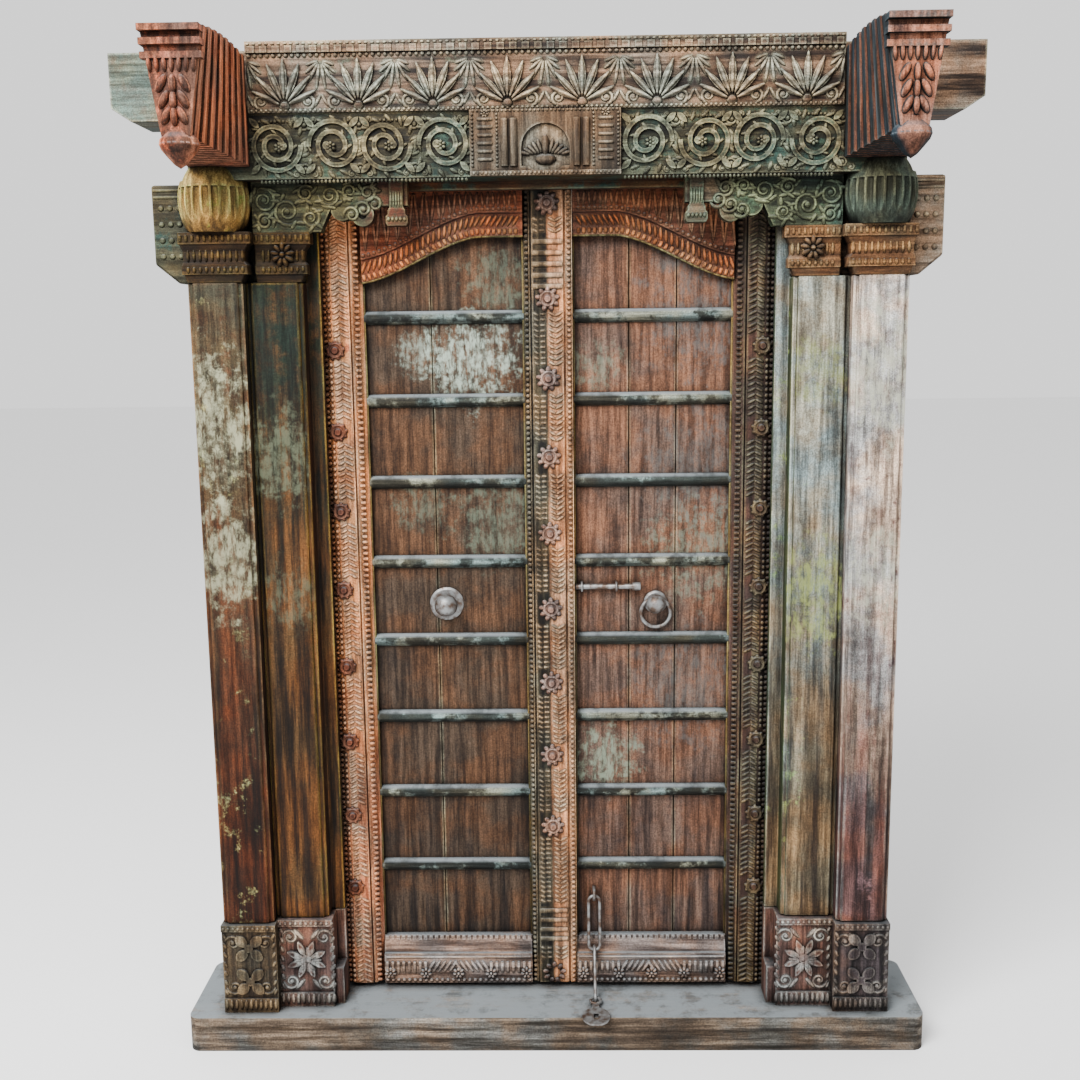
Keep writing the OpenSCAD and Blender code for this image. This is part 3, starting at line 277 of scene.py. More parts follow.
# Plinth blocks: four carved feet that stand on the sill under the posts, brown wood with ochre dust in it.
# Cut into their faces here: drops along the foot, beads under the top fillet, four curls, a chain of
# leaves up each side, and a flower on the inner two. The makers of small carved forms come first.
left_plinth = timber(
    "left plinth wood", "plinth_wood", wood=(99, 87, 68), dark=(32, 22, 20), rubbed_and_highlight=(148, 134, 108),
    paint=(105, 97, 64), amount=0.25,
)
inner_plinth = timber(
    "inner plinth wood", "plinth_wood", wood=(155, 115, 103), dark=(51, 34, 32), rubbed_and_highlight=(207, 203, 194),
    paint=(176, 164, 146), amount=0.25,
)
right_plinth = timber(
    "right plinth wood", "plinth_wood", wood=(92, 78, 78), dark=(29, 24, 26), rubbed_and_highlight=(156, 142, 130),
)


def piece(name, body, mat, bm):
    bmesh.ops.recalc_face_normals(bm, faces=bm.faces)
    mesh = bpy.data.meshes.new(name)
    bm.to_mesh(mesh)
    bm.free()
    mesh.shade_smooth()
    mesh.materials.append(mat)
    o = bpy.data.objects.new(name, mesh)
    bpy.context.scene.collection.objects.link(o)
    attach(o, body)


def form(bm):
    bm.verts.index_update()
    shape = [v.co.copy() for v in bm.verts], [[v.index for v in f.verts] for f in bm.faces]
    bm.free()
    return shape


bm = bmesh.new()
bmesh.ops.create_uvsphere(bm, u_segments=7, v_segments=6, radius=1.0)
ball_points, ball_faces = form(bm)
bm = bmesh.new()
bmesh.ops.create_cube(bm, size=1.0)
bmesh.ops.bevel(bm, geom=bm.edges[:], offset=0.1, segments=1, profile=0.5, affect="EDGES")
brick_points, brick_faces = form(bm)


def stamp(bm, x, y, z, turn, faces, points):
    shape = Matrix.Translation((x, y, z)) @ Matrix.Rotation(math.radians(turn), 4, "Y")
    made = [bm.verts.new(shape @ p) for p in points]
    for f in faces:
        bm.faces.new([made[n] for n in f])


def bud(bm, x, y, z, half_w, half_d, half_l, turn=0.0):
    points = [Vector((p.x * half_w, p.y * half_d, p.z * half_l)) for p in ball_points]
    stamp(bm, x, y, z, turn, ball_faces, points)


def bar(bm, x, y, z, w, d, h, turn=0.0):
    cut = min(w, d, h) * 0.22
    points = []
    for p in brick_points:
        reaches = [size / 2 - (cut if abs(c) < 0.45 else 0.0) for c, size in zip(p, (w, d, h))]
        points.append(Vector([math.copysign(reach, c) for c, reach in zip(p, reaches)]))
    stamp(bm, x, y, z, turn, brick_faces, points)


def curl(bm, x, y, z, r, turns, start, hand, thick, rings=16):
    sides = 6
    depth = Vector((0.0, 1.0, 0.0))
    loop_before = None
    for k in range(rings + 1):
        t = k / rings
        a = math.radians(start) + hand * turns * 2 * math.pi * t
        out = Vector((math.cos(a), 0.0, math.sin(a)))
        mid = Vector((x, y, z)) + out * r * (1.0 - 0.78 * t)
        half = thick * (1.0 - 0.35 * t) * (0.45 if k == 0 else 1.0)
        around = [2 * math.pi * n / sides for n in range(sides)]
        loop = [bm.verts.new(mid + (out * math.cos(b) + depth * math.sin(b)) * half) for b in around]
        if loop_before:
            for n in range(sides):
                bm.faces.new((loop_before[n], loop_before[n - 1], loop[n - 1], loop[n]))
        if k in (0, rings):
            bm.faces.new(loop)
        loop_before = loop
    bud(bm, x, y, z, thick * 1.5, thick * 1.3, thick * 1.5)


def flower(bm, x, y, z, r, petals, depth):
    away = r * 0.6
    for k in range(petals):
        turn = 360.0 * k / petals
        a = math.radians(turn)
        bud(bm, x + away * math.sin(a), y, z + away * math.cos(a), r * 2 / petals, depth, r * 0.4, turn)
    bud(bm, x, y, z, r * 0.26, depth * 1.35, r * 0.26)


stop_width = 0.018
drops = 11
leaves = 7
for name, mat in (
    ("left_outer_plinth", left_plinth),
    ("left_inner_plinth", inner_plinth),
    ("right_inner_plinth", inner_plinth),
    ("right_outer_plinth", right_plinth),
):
    dress(mat, 0.003, name)
    low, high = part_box(name)
    inner = "inner" in name
    if inner and high.x < 0:
        high.x -= stop_width
    elif inner:
        low.x += stop_width
    mid = (low.x + high.x) / 2
    half = (high.x - low.x) / 2
    face = low.y + (0.0075 if inner else 0.006)
    bm = bmesh.new()
    for k in range(drops):
        x = low.x + (k + 0.5) * half * 2 / drops
        bud(bm, x, low.y, low.z + 0.022, half / 14, 0.005, 0.015)
        bud(bm, x, low.y, high.z - 0.009, half / 16, 0.004, 0.005)
    for sx in (-1, 1):
        for up, z in ((1, high.z - 0.05), (-1, low.z + 0.068)):
            curl(bm, mid + sx * half * 0.6, face, z, half * 0.3, 1.3, 90 - sx * 90, sx * up, 0.0045)
            bud(bm, mid + sx * half * 0.3, face, z + up * 0.008, 0.006, 0.005, half * 0.26, sx * up * 40)
        for k in range(leaves):
            bud(bm, mid + sx * half * 0.9, face, low.z + 0.055 + k * 0.026, 0.005, 0.005, 0.010, sx * 25)
    if inner:
        flower(bm, mid, face - 0.002, (low.z + high.z) / 2 + 0.008, half * 0.5, 12, 0.007)
    piece(name + "_carving", "frame", mat, bm)

# Posts: four plain baulks with chamfered edges between plinth and capital, their old paint nearly gone.
# They are paler above, and dark below with damp and hands. A second shader group leaves torn patches of
# an older coat on a face, each round a given middle.
remnant_group = bpy.data.node_groups.new("paint_remnant", "ShaderNodeTree")
for kind, label in (
    ("NodeSocketVector", "middle"),
    ("NodeSocketFloat", "reach"),
    ("NodeSocketFloat", "strength"),
):
    remnant_group.interface.new_socket(label, in_out="INPUT", socket_type=kind)
remnant_group.interface.new_socket("mask", in_out="OUTPUT", socket_type="NodeSocketFloat")
nodes = remnant_group.nodes
links = remnant_group.links
given = nodes.new("NodeGroupInput").outputs
result = nodes.new("NodeGroupOutput").inputs
place = nodes.new("ShaderNodeTexCoord").outputs["Object"]
torn = noise(place, 24.0, 6.0, 0.74)
streaks = noise(vector("MULTIPLY", place, (1.0, 1.0, 0.3)), 70.0, 5.0, 0.74)
only_near_face = (1.0, 9.0, 1.0)
away = vector("MULTIPLY", vector("SUBTRACT", place, given["middle"]), only_near_face)
far = calc("DIVIDE", vector("LENGTH", away, (0.0, 0.0, 0.0), "Value"), given["reach"])
far = calc("ADD", far, product(calc("SUBTRACT", torn, 0.5), 3.0))
broken = product(spread(streaks, 0.38, 0.58, 0.05, 1.0), spread(torn, 0.62, 0.44, 0.2, 1.0))
links.new(product(spread(far, 1.0, 0.35, 0.0, given["strength"]), broken), result["mask"])


def remnants(mat, color, face, *spots):
    tree = mat.node_tree
    base = tree.nodes["Principled BSDF"].inputs["Base Color"]
    for x, z, reach, strength in spots:
        left_over = tree.nodes.new("ShaderNodeGroup")
        left_over.node_tree = remnant_group
        left_over.inputs["middle"].default_value = (x, face, z)
        left_over.inputs["reach"].default_value = reach
        left_over.inputs["strength"].default_value = strength
        mix = tree.nodes.new("ShaderNodeMix")
        mix.data_type = "RGBA"
        tree.links.new(left_over.outputs["mask"], mix.inputs[0])
        tree.links.new(base.links[0].from_socket, mix.inputs[6])
        mix.inputs[7].default_value = seen(color)
        tree.links.new(mix.outputs[2], base)


left_outer = timber(
    "left outer post wood", "post_wood", wood=(100, 55, 34), dark=(34, 19, 12), rubbed_and_highlight=(172, 132, 90),
    paint=(193, 194, 136), amount=0.36, upper=(84, 77, 58), span=(0.75, 2.0),
)
left_inner = timber(
    "left inner post wood", "post_wood", wood=(128, 88, 50), dark=(41, 28, 18), rubbed_and_highlight=(200, 169, 77),
    paint=(45, 72, 60), amount=0.3, upper=(31, 41, 32), span=(0.9, 1.9), side=(62, 40, 28),
)
right_inner = timber(
    "right inner post wood", "post_wood", wood=(162, 141, 110), dark=(60, 49, 39), rubbed_and_highlight=(210, 218, 201),
    paint=(188, 218, 128), amount=0.36, upper=(170, 182, 178), span=(0.6, 1.8), side=(62, 74, 44),
)
right_outer = timber(
    "right outer post wood", "post_wood", wood=(136, 94, 88), dark=(48, 34, 35), rubbed_and_highlight=(245, 238, 230),
    paint=(142, 104, 104), amount=0.4, upper=(245, 234, 225), span=(0.5, 1.7),
)
outer_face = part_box("right_outer_post")[0].y
inner_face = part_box("right_inner_post")[0].y
remnants(right_inner, (168, 178, 100), inner_face, (0.69, 1.2, 0.16, 0.65), (0.66, 1.75, 0.1, 0.4))
remnants(right_outer, (214, 214, 190), outer_face, (0.83, 1.75, 0.2, 0.7), (0.82, 1.25, 0.14, 0.6))
remnants(left_outer, (196, 196, 160), outer_face, (-0.83, 1.65, 0.18, 0.7), (-0.8, 1.3, 0.16, 0.6))
remnants(left_inner, (112, 120, 96), inner_face, (-0.68, 1.55, 0.14, 0.6), (-0.66, 1.2, 0.1, 0.4))
dress(left_outer, 0.004, "left_outer_post")
dress(left_inner, 0.004, "left_inner_post")
dress(right_inner, 0.004, "right_inner_post")
dress(right_outer, 0.004, "right_outer_post")

# Capitals: moulded blocks on the four posts, ochre and brown, the left ones darker.
# Cut here: a row of dentils along the top, two rows of drops below it, and a flower on the inner two.
left_capital = timber(
    "left capital wood", "capital_wood", wood=(70, 51, 28), dark=(18, 13, 8), rubbed_and_highlight=(124, 104, 58),
    paint=(104, 106, 48), amount=0.32, grain=level_grain,
)
right_capital = timber(
    "right capital wood", "capital_wood", wood=(140, 104, 74), dark=(42, 29, 20), rubbed_and_highlight=(196, 162, 112),
    paint=(128, 116, 72), amount=0.28, grain=level_grain,
)
drop_pitch = 0.0135
for name, mat in (
    ("left_inner_capital", left_capital),
    ("right_inner_capital", right_capital),
    ("left_outer_capital", left_capital),
    ("right_outer_capital", right_capital),
):
    dress(mat, 0.003, name)
    low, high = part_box(name)
    width = high.x - low.x
    tall = high.z - low.z
    count = int(width / drop_pitch)
    bm = bmesh.new()
    for k in range(count):
        x = low.x + (k + 0.5) * width / count
        bar(bm, x, low.y, low.z + tall * 0.88, 0.007, 0.008, 0.016)
        if 0.1 < (k + 0.5) / count < 0.9:
            bud(bm, x, low.y + 0.006, low.z + tall * 0.25, 0.0048, 0.006, 0.008)
            bud(bm, x, low.y + 0.0085, low.z + tall * 0.53, 0.0042, 0.005, 0.015)
    if "inner" in name:
        flower(bm, (low.x + high.x) / 2, low.y + 0.004, low.z + tall * 0.55, 0.03, 9, 0.011)
    piece(name + "_carving", "frame", mat, bm)

# Bolsters: beams that lie across the post tops and run out in horns, dark teal left and brown right.
# Cut here into each horn's face: four rows of three studs and two fillets above them.
left_bolster = timber(
    "left bolster wood", "bolster_wood", wood=(86, 81, 59), dark=(28, 29, 21), rubbed_and_highlight=(134, 133, 100),
    paint=(49, 75, 64), amount=0.45, grain=level_grain,
)
right_bolster = timber(
    "right bolster wood", "bolster_wood", wood=(173, 151, 131), dark=(53, 44, 41), rubbed_and_highlight=(204, 195, 168),
    paint=(138, 161, 141), amount=0.3, grain=level_grain,
)
stud_rows = 4
stud_half = 0.0075
for name, mat, side in (("left_bolster", left_bolster, -1), ("right_bolster", right_bolster, 1)):
    dress(mat, 0.006, name)
    low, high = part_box(name)
    horn_end = max(-low.x, high.x)
    bm = bmesh.new()
    for k in range(stud_rows):
        for n in range(3):
            x = side * (horn_end - 0.065 + 0.022 * n)
            bud(bm, x, low.y, low.z + 0.065 + 0.038 * k, stud_half, 0.004, stud_half)
    for n in range(2):
        bar(bm, side * (horn_end - 0.045), low.y, low.z + 0.205 + 0.016 * n, 0.084, 0.006, 0.007)
    piece(name + "_carving", "frame", mat, bm)

# Cushion blocks: fluted barrels between the outer capitals and the brackets, shaped in the CAD.
# Yellow ochre paint on the left one, green grey on the right.
left_cushion = timber(
    "left cushion wood", "capital_wood", wood=(196, 161, 91), dark=(67, 46, 23), rubbed_and_highlight=(204, 208, 125),
    paint=(179, 192, 78), amount=0.45,
)
right_cushion = timber(
    "right cushion wood", "capital_wood", wood=(88, 97, 82), dark=(28, 30, 26), rubbed_and_highlight=(134, 144, 119),
    paint=(67, 93, 75), amount=0.4,
)
dress(left_cushion, 0.002, "left_cushion")
dress(right_cushion, 0.002, "right_cushion")

# Brackets: reeded arms let into the lintel that stand far out of it, the left one red paint made extra
# bright as a painted highlight on its lit inner side, the right one nearly black on its sides and reddish
# in front.
# Cut here into the front end: beads under the cap, a row of drops, and three pairs of leaves.
# The left bracket's red is lightened beyond its paint to stand for light falling on its inner side: a
# painted highlight.
left_bracket = timber(
    "left bracket wood", "bracket_wood", wood=(255, 164, 122), dark=(242, 120, 90), rubbed_and_highlight=(124, 86, 70),
    paint=(222, 118, 80), amount=0.4, front=(66, 44, 36),
)
right_bracket = timber(
    "right bracket wood", "bracket_wood", wood=(46, 58, 66), dark=(12, 17, 21), rubbed_and_highlight=(96, 106, 108),
    paint=(38, 47, 54), amount=0.3, front=(201, 133, 105),
)
for name, mat in (("left_bracket", left_bracket), ("right_bracket", right_bracket)):
    dress(mat, 0.0015, name)
    low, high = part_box(name)
    mid = (low.x + high.x) / 2
    front = low.y + 0.0175
    bm = bmesh.new()
    for k in range(-4, 5):
        bud(bm, mid + k * 0.0135, front - 0.012, high.z - 0.0205, 0.0052, 0.006, 0.006)
    for k in range(-3, 4):
        bud(bm, mid + k * 0.0155, front, high.z - 0.088, 0.0058, 0.008, 0.019, k * 2.0)
    for k in range(3):
        z = high.z - 0.128 - 0.032 * k
        for sx in (-1, 1):
            bud(bm, mid + sx * (0.024 - 0.004 * k), front, z, 0.0095, 0.009, 0.021, -sx * 28)
        bud(bm, mid, front - 0.003, z - 0.002, 0.008, 0.009, 0.02)
    piece(name + "_carving", "frame", mat, bm)

# Spandrels: cut planks fixed under the lintel in the corners of the doorway, green paint worn to the wood,
# each with a brown drop at its inner end.
# Cut here: curling foliage, three volutes and the reeds and beads of the drop.
left_spandrel = timber(
    "left spandrel wood", "spandrel_wood", wood=(98, 100, 73), dark=(28, 27, 20), rubbed_and_highlight=(150, 152, 114),
    paint=(63, 82, 61), amount=0.5, grain=level_grain, upper=(112, 66, 48), span=(-0.46, -0.42),
    axis=(1, 0, 0),
)
right_spandrel = timber(
    "right spandrel wood", "spandrel_wood", wood=(86, 103, 87), dark=(21, 27, 22), rubbed_and_highlight=(141, 161, 133),
    paint=(83, 116, 98), amount=0.5, grain=level_grain, upper=(122, 106, 86), span=(-0.46, -0.42),
    axis=(-1, 0, 0),
)
curls = (
    (0.03, 0.073, 0.03),
    (0.03, 0.025, 0.02),
    (0.084, 0.047, 0.034),
    (0.13, 0.089, 0.021),
    (0.14, 0.031, 0.024),
    (0.187, 0.083, 0.027),
    (0.235, 0.093, 0.019),
    (0.278, 0.089, 0.02),
)
for name, mat, side in (("left_spandrel", left_spandrel, -1), ("right_spandrel", right_spandrel, 1)):
    dress(mat, 0.003, name)
    low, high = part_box(name)
    outer_end = max(-low.x, high.x)
    inner_end = min(abs(low.x), abs(high.x))
    face = low.y + 0.007
    rng = random.Random(7)
    bm = bmesh.new()
    for k, (from_end, up, r) in enumerate(curls):
        x = side * (outer_end - from_end)
        z = low.z + up
        curl(bm, x, face, z, r, 1.6, rng.uniform(0, 360), 1 if k % 2 else -1, 0.0052, 20)
        for n in range(5):
            a = rng.uniform(0, 2 * math.pi)
            leaf_x = x + math.cos(a) * r * 1.1
            bud(bm, leaf_x, face, z + math.sin(a) * r, 0.0055, 0.006, 0.013, rng.uniform(0, 180))
    for n in range(3):
        x = side * (inner_end + 0.1335 - 0.028 * n)
        curl(bm, x, face, low.z + 0.038 + 0.012 * n, 0.02, 1.4, 200, side, 0.005)
    for k in range(-2, 3):
        bud(bm, side * (inner_end + 0.026 + k * 0.0062), low.y, low.z + 0.072, 0.0032, 0.004, 0.02)
        bud(bm, side * (inner_end + 0.026 + k * 0.0095), low.y, low.z + 0.026, 0.0045, 0.005, 0.006)
    piece(name + "_carving", "frame", mat, bm)

# Lintel: beam across the posts with a frieze of scrolls, olive and teal paint in front, brown set back.
# The scrolls are in the CAD. Cut here round each one: leaves, inner leaflets, a flower, small curls in
# the corners, a bud between two scrolls, and a row of beads above and below.
frieze = timber(
    "frieze wood", "frieze_wood", wood=(107, 106, 83), dark=(25, 25, 21), rubbed_and_highlight=(180, 178, 145),
    paint=(73, 102, 89), amount=0.5, grain=level_grain, upper=(112, 70, 42), span=(-0.12, -0.1),
    axis=(0, 1, 0),
)
dress(frieze, 0.003, "lintel")
low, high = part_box("lintel")
face = low.y + 0.007
foot = low.z + 0.006
z = (low.z + high.z + 0.012) / 2
bracket_low, bracket_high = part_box("right_bracket")
frieze_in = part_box("niche_panel")[1].x
frieze_out = (bracket_low.x + bracket_high.x) / 2 - 0.075
scrolls = 4
pitch = (frieze_out - frieze_in) / scrolls
leaves = 14
leaflets = 7
bm = bmesh.new()
for side in (-1, 1):
    for k in range(scrolls):
        x = side * (frieze_in + pitch * (k + 0.5))
        for n in range(leaves):
            turn = 360 / leaves * n + 10
            a = math.radians(turn)
            leaf_x = x + math.cos(a) * 0.0665
            leaf_z = z + math.sin(a) * 0.0625
            bud(bm, leaf_x, face, leaf_z, 0.0056, 0.006, 0.0125, 90 - turn + 40 * side)
        for n in range(leaflets):
            turn = 360 / leaflets * n
            a = math.radians(turn)
            leaf_x = x + math.cos(a) * 0.037
            bud(bm, leaf_x, face, z + math.sin(a) * 0.037, 0.005, 0.006, 0.0115, 60 - turn)
        flower(bm, x + side * (-0.004 if k % 2 else 0.004), face - 0.004, z, 0.013, 6, 0.006)
        between = x + pitch / 2
        for up in (-1, 1):
            curl(bm, between, face, z + up * 0.05, 0.0155, 1.5, 90 * up, up, 0.0042, 14)
            curl(bm, between - 0.021, face, z + up * 0.061, 0.008, 1.2, -90 * up, -up, 0.0034, 10)
            curl(bm, between + 0.021, face, z + up * 0.061, 0.008, 1.2, -90 * up, up, 0.0034, 10)
        bud(bm, between, face, z, 0.006, 0.007, 0.022)
        bud(bm, between - 0.009, face, z, 0.0042, 0.006, 0.016, 24)
        bud(bm, between + 0.009, face, z, 0.0042, 0.006, 0.016, -24)
    for k in range(52):
        x = side * (frieze_in + 0.01 + 0.0094 * k)
        bud(bm, x, face, foot + 0.006, 0.0036, 0.005, 0.0042)
        bud(bm, x, face, foot + 0.141, 0.0036, 0.005, 0.0042)
piece("frieze_foliage", "frame", frieze, bm)

# Niche panel: small shrine front planted on the middle of the lintel, brown wood with pale rubbed edges
# that also carry a painted highlight.
# Cut here: beaded columns with bands and a flower on either side, a lotus in the niche, and beads along
# the foot and the top.
niche = timber(
    "niche wood", "frieze_wood", wood=(116, 97, 78), dark=(30, 23, 19), rubbed_and_highlight=(176, 164, 142),
    paint=(114, 123, 106), amount=0.15,
)
dress(niche, 0.002, "niche_panel")
low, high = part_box("niche_panel")
face = high.y - 0.012
foot = low.z
column = high.x - 0.035
bm = bmesh.new()
for side in (-1, 1):
    for k in range(14):
        z = foot + 0.022 + 0.0088 * k
        bud(bm, side * (column + 0.029), face, z, 0.0036, 0.005, 0.0038)
        bud(bm, side * (column - 0.028), face, z, 0.0034, 0.005, 0.0036)
    for k in range(6):
        bar(bm, side * column, face, foot + 0.036 + 0.018 * k, 0.036, 0.008, 0.0075)
    for k in range(5):
        x = side * (0.014 + 0.0085 * k)
        z = foot + 0.066 - 0.004 * k
        bud(bm, x, face + 0.006, z, 0.0052, 0.006, 0.017 - 0.001 * k, side * (16 + 15 * k))
    flower(bm, side * column, face, foot + 0.139, 0.011, 7, 0.005)
bud(bm, 0.0, face + 0.005, foot + 0.068, 0.009, 0.008, 0.025)
bud(bm, 0.0, face + 0.006, foot + 0.036, 0.026, 0.008, 0.013)
for k in range(36):
    x = (k - 17.5) * 0.0095
    bud(bm, x, face - 0.006, foot + 0.005, 0.0036, 0.004, 0.0042)
    bud(bm, x, face, foot + 0.145, 0.0036, 0.004, 0.0038)
piece("niche_carving", "frame", niche, bm)

# Cornice: top beam with horns and eight palmettes, grey and pinkish brown, laid on the lintel.
# Cut here: ribs on the palmettes, fans that hang between them, curls at their feet, and three rows of
# beads along the beam.
cornice = timber(
    "cornice wood", "cornice_wood", wood=(178, 150, 127), dark=(52, 42, 37), rubbed_and_highlight=(222, 220, 194),
    paint=(140, 152, 125), amount=0.36, grain=level_grain, upper=(119, 134, 120), span=(0.88, 0.96),
    axis=(-1, 0, 0),
)
dress(cornice, 0.003, "cornice")
low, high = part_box("cornice")
face = low.y + 0.009
foot = low.z
palmettes = 8
pitch = frieze_out * 2 / palmettes
rib_shares = (0.72, 0.84, 0.95, 1.0, 0.95, 0.84, 0.72)
bm = bmesh.new()
for i in range(palmettes):
    x = pitch * (i + 0.5) - frieze_out
    for k, share in enumerate(rib_shares):
        turn = -65.0 + 130.0 * k / 6
        a = math.radians(turn)
        reach = 0.105 * (0.14 + 0.43 * share)
        rib_z = foot + 0.013 + reach * math.cos(a)
        bud(bm, x + reach * math.sin(a), face - 0.006, rib_z, 0.0055, 0.0065, reach * 0.78, turn)
    for sx in (-1, 1):
        curl(bm, x + sx * 0.055, face, foot + 0.024, 0.017, 1.4, -90, sx, 0.005, 14)
        for k in range(4):
            turn = 8 + 21 * k
            a = math.radians(turn)
            long = 0.066 - 0.011 * k
            fan_x = x + sx * (0.0845 - math.sin(a) * long * 0.55)
            fan_z = foot + 0.114 - math.cos(a) * long * 0.55
            bud(bm, fan_x, face, fan_z, 0.0048, 0.006, long * 0.47, sx * turn)
        bud(bm, x + sx * 0.078, face, foot + 0.026, 0.0045, 0.006, 0.016, sx * 28)
    bud(bm, x, face, foot + 0.014, 0.013, 0.008, 0.011)
for k in range(96):
    x = (k - 47.5) * 0.01433
    bud(bm, x, face - 0.001, foot + 0.1255, 0.0052, 0.005, 0.0052)
    bud(bm, x, face - 0.006, foot + 0.1505, 0.0048, 0.004, 0.0035)
for k in range(120):
    bud(bm, (k - 59.5) * 0.01142, face, foot + 0.0045, 0.0042, 0.005, 0.0042)
piece("cornice_carving", "frame", cornice, bm)

# Left leaf frame: two stiles and two rails tenoned together, worn terracotta paint, carved all over.
# The meeting stile is bright on its right half and grey on its left. Cut here: rows of bars, beads and
# slanting leaves on the stiles, petals round the bosses, the arched band, and a pale line round the boards.
left_frame = timber(
    "left leaf frame wood", "leaf_frame_wood", wood=(240, 162, 122), dark=(156, 92, 68),
    rubbed_and_highlight=(245, 204, 166), paint=(240, 136, 88), amount=0.35, upper=(255, 170, 110), span=(0.45, 1.15),
)
meeting = timber(
    "meeting stile wood", "leaf_frame_wood", wood=(97, 90, 72), dark=(28, 25, 23), rubbed_and_highlight=(216, 194, 160),
    paint=(103, 110, 90), amount=0.3, upper=(255, 182, 134), span=(-0.006, 0.006), axis=(1, 0, 0),
)
left_rail = timber(
    "left rail wood", "leaf_frame_wood", wood=(149, 84, 59), dark=(46, 23, 19), rubbed_and_highlight=(200, 145, 113),
    paint=(156, 81, 53), amount=0.4, grain=level_grain, dust_and_highlight=0.9,
)
dark_boss = timber(
    "dark boss wood", "leaf_frame_wood", wood=(104, 58, 44), dark=(26, 16, 14), rubbed_and_highlight=(172, 112, 84),
    paint=(130, 70, 50), amount=0.3,
)
grey_boss = timber(
    "grey boss wood", "leaf_frame_wood", wood=(158, 120, 106), dark=(34, 26, 26), rubbed_and_highlight=(214, 186, 172),
    paint=(130, 112, 104), amount=0.3,
)
foot_rail = timber(
    "bottom rail wood", "leaf_frame_wood", wood=(190, 164, 152), dark=(72, 58, 54), rubbed_and_highlight=(222, 208, 200),
    paint=(156, 92, 70), amount=0.3, grain=level_grain, dust_and_highlight=1.0,
)
edge_line = timber(
    "pale edge line", "leaf_frame_wood", wood=(142, 122, 70), dark=(78, 59, 29), rubbed_and_highlight=(161, 148, 100),
    paint=(108, 100, 70), amount=0.3,
)
arch_band = timber(
    "arch band wood", "leaf_frame_wood", wood=(226, 118, 66), dark=(84, 38, 24), rubbed_and_highlight=(240, 170, 110),
    paint=(206, 110, 60), amount=0.3,
)
dress(left_frame, 0.002, "left_hanging_stile")
dress(meeting, 0.002, "left_meeting_stile")
dress(dark_boss, 0.002, "left_stile_bosses")
dress(grey_boss, 0.002, "left_meeting_bosses")
dress(left_rail, 0.002, "left_top_rail")
dress(foot_rail, 0.002, "left_bottom_rail", "right_bottom_rail")
low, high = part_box("left_hanging_stile")
foot = low.z
head = high.z
front = low.y
stile_in = -high.x
stile_out = stile_in + 0.108
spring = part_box("left_top_rail")[0].z
arch_rise = 0.109
arch_share = 0.72
half_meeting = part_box("left_meeting_stile")[1].x
boss_low, boss_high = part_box("right_stile_bosses")
boss_x = (boss_low.x + boss_high.x) / 2
boss_front = front - 0.002
side_first = foot + 0.278
side_last = head - 0.394
side_bosses = [side_first + k * (side_last - side_first) / 7 for k in range(8)]
middle_first = foot + 0.448
middle_last = head - 0.273
middle_bosses = [middle_first + k * (middle_last - middle_first) / 7 for k in range(8)]
middle_bosses += [head - 0.042, foot + 0.03]


def stile_carving(bm, side):
    row = int((head - foot) / 0.0145)
    for k in range(row):
        z = foot + (k + 0.5) * (head - foot) / row
        bar(bm, side * (stile_in + 0.0145), front + 0.0085, z, 0.014, 0.012, 0.0082)
        bud(bm, side * (stile_out - 0.012), front + 0.004, z, 0.0075, 0.006, 0.0056)
        if min(abs(z - b) for b in side_bosses) > 0.034:
            bud(bm, side * (stile_in + 0.046), front, z, 0.0042, 0.005, 0.013, side * 62)
            bud(bm, side * (stile_in + 0.066), front, z, 0.0042, 0.005, 0.0115, -side * 62)
            bud(bm, side * (stile_in + 0.083), front, z, 0.005, 0.005, 0.0055)


def boss_carving(bm, x, bosses, reach):
    petals = 9
    for z in bosses:
        for k in range(petals):
            a = 2 * math.pi * k / petals
            petal_x = x + reach * 0.74 * math.sin(a)
            petal_z = z + reach * 0.74 * math.cos(a)
            bud(bm, petal_x, boss_front, petal_z, reach * 0.22, 0.006, reach * 0.28, math.degrees(a))


def arch_height(u):
    t = min(1.0, u / arch_share)
    return arch_rise * (0.35 * t + 0.65 * (3 * t * t - 2 * t * t * t))


def along_rail(start, end, pitch):
    span = end - start
    shares = [(k + 0.5) * pitch / abs(span) for k in range(int(abs(span) / pitch))]
    return [(u, start + span * u) for u in shares]


def arch_carving(bm, start, end):
    span = end - start
    hand = 1 if span > 0 else -1
    step = 0.02 * arch_share
    for u, x in along_rail(start, end, 0.0135):
        z = spring + arch_height(u)
        rise = arch_height(u + step) - arch_height(u)
        slope = hand * math.degrees(math.atan2(rise, step * abs(span)))
        bar(bm, x, front + 0.0075, z + 0.011, 0.0085, 0.011, 0.015, -slope)
        bud(bm, x, front + 0.006, z + 0.036, 0.0046, 0.007, 0.0165, hand * 28 - slope)


def rail_carving(bm, start, end):
    for k, (u, x) in enumerate(along_rail(start, end, 0.0135)):
        z = spring + arch_height(u)
        bud(bm, x, front, z + 0.064, 0.005, 0.005, 0.0052)
        if head - z > 0.1:
            half_tall = (head - z - 0.082) / 2
            bud(bm, x, front, head - 0.012 - half_tall, 0.0045, 0.006, half_tall, 6 if k % 2 else -6)
    for u, x in along_rail(start, end, 0.0115):
        bar(bm, x, front, head - 0.007, 0.0065, 0.007, 0.009)


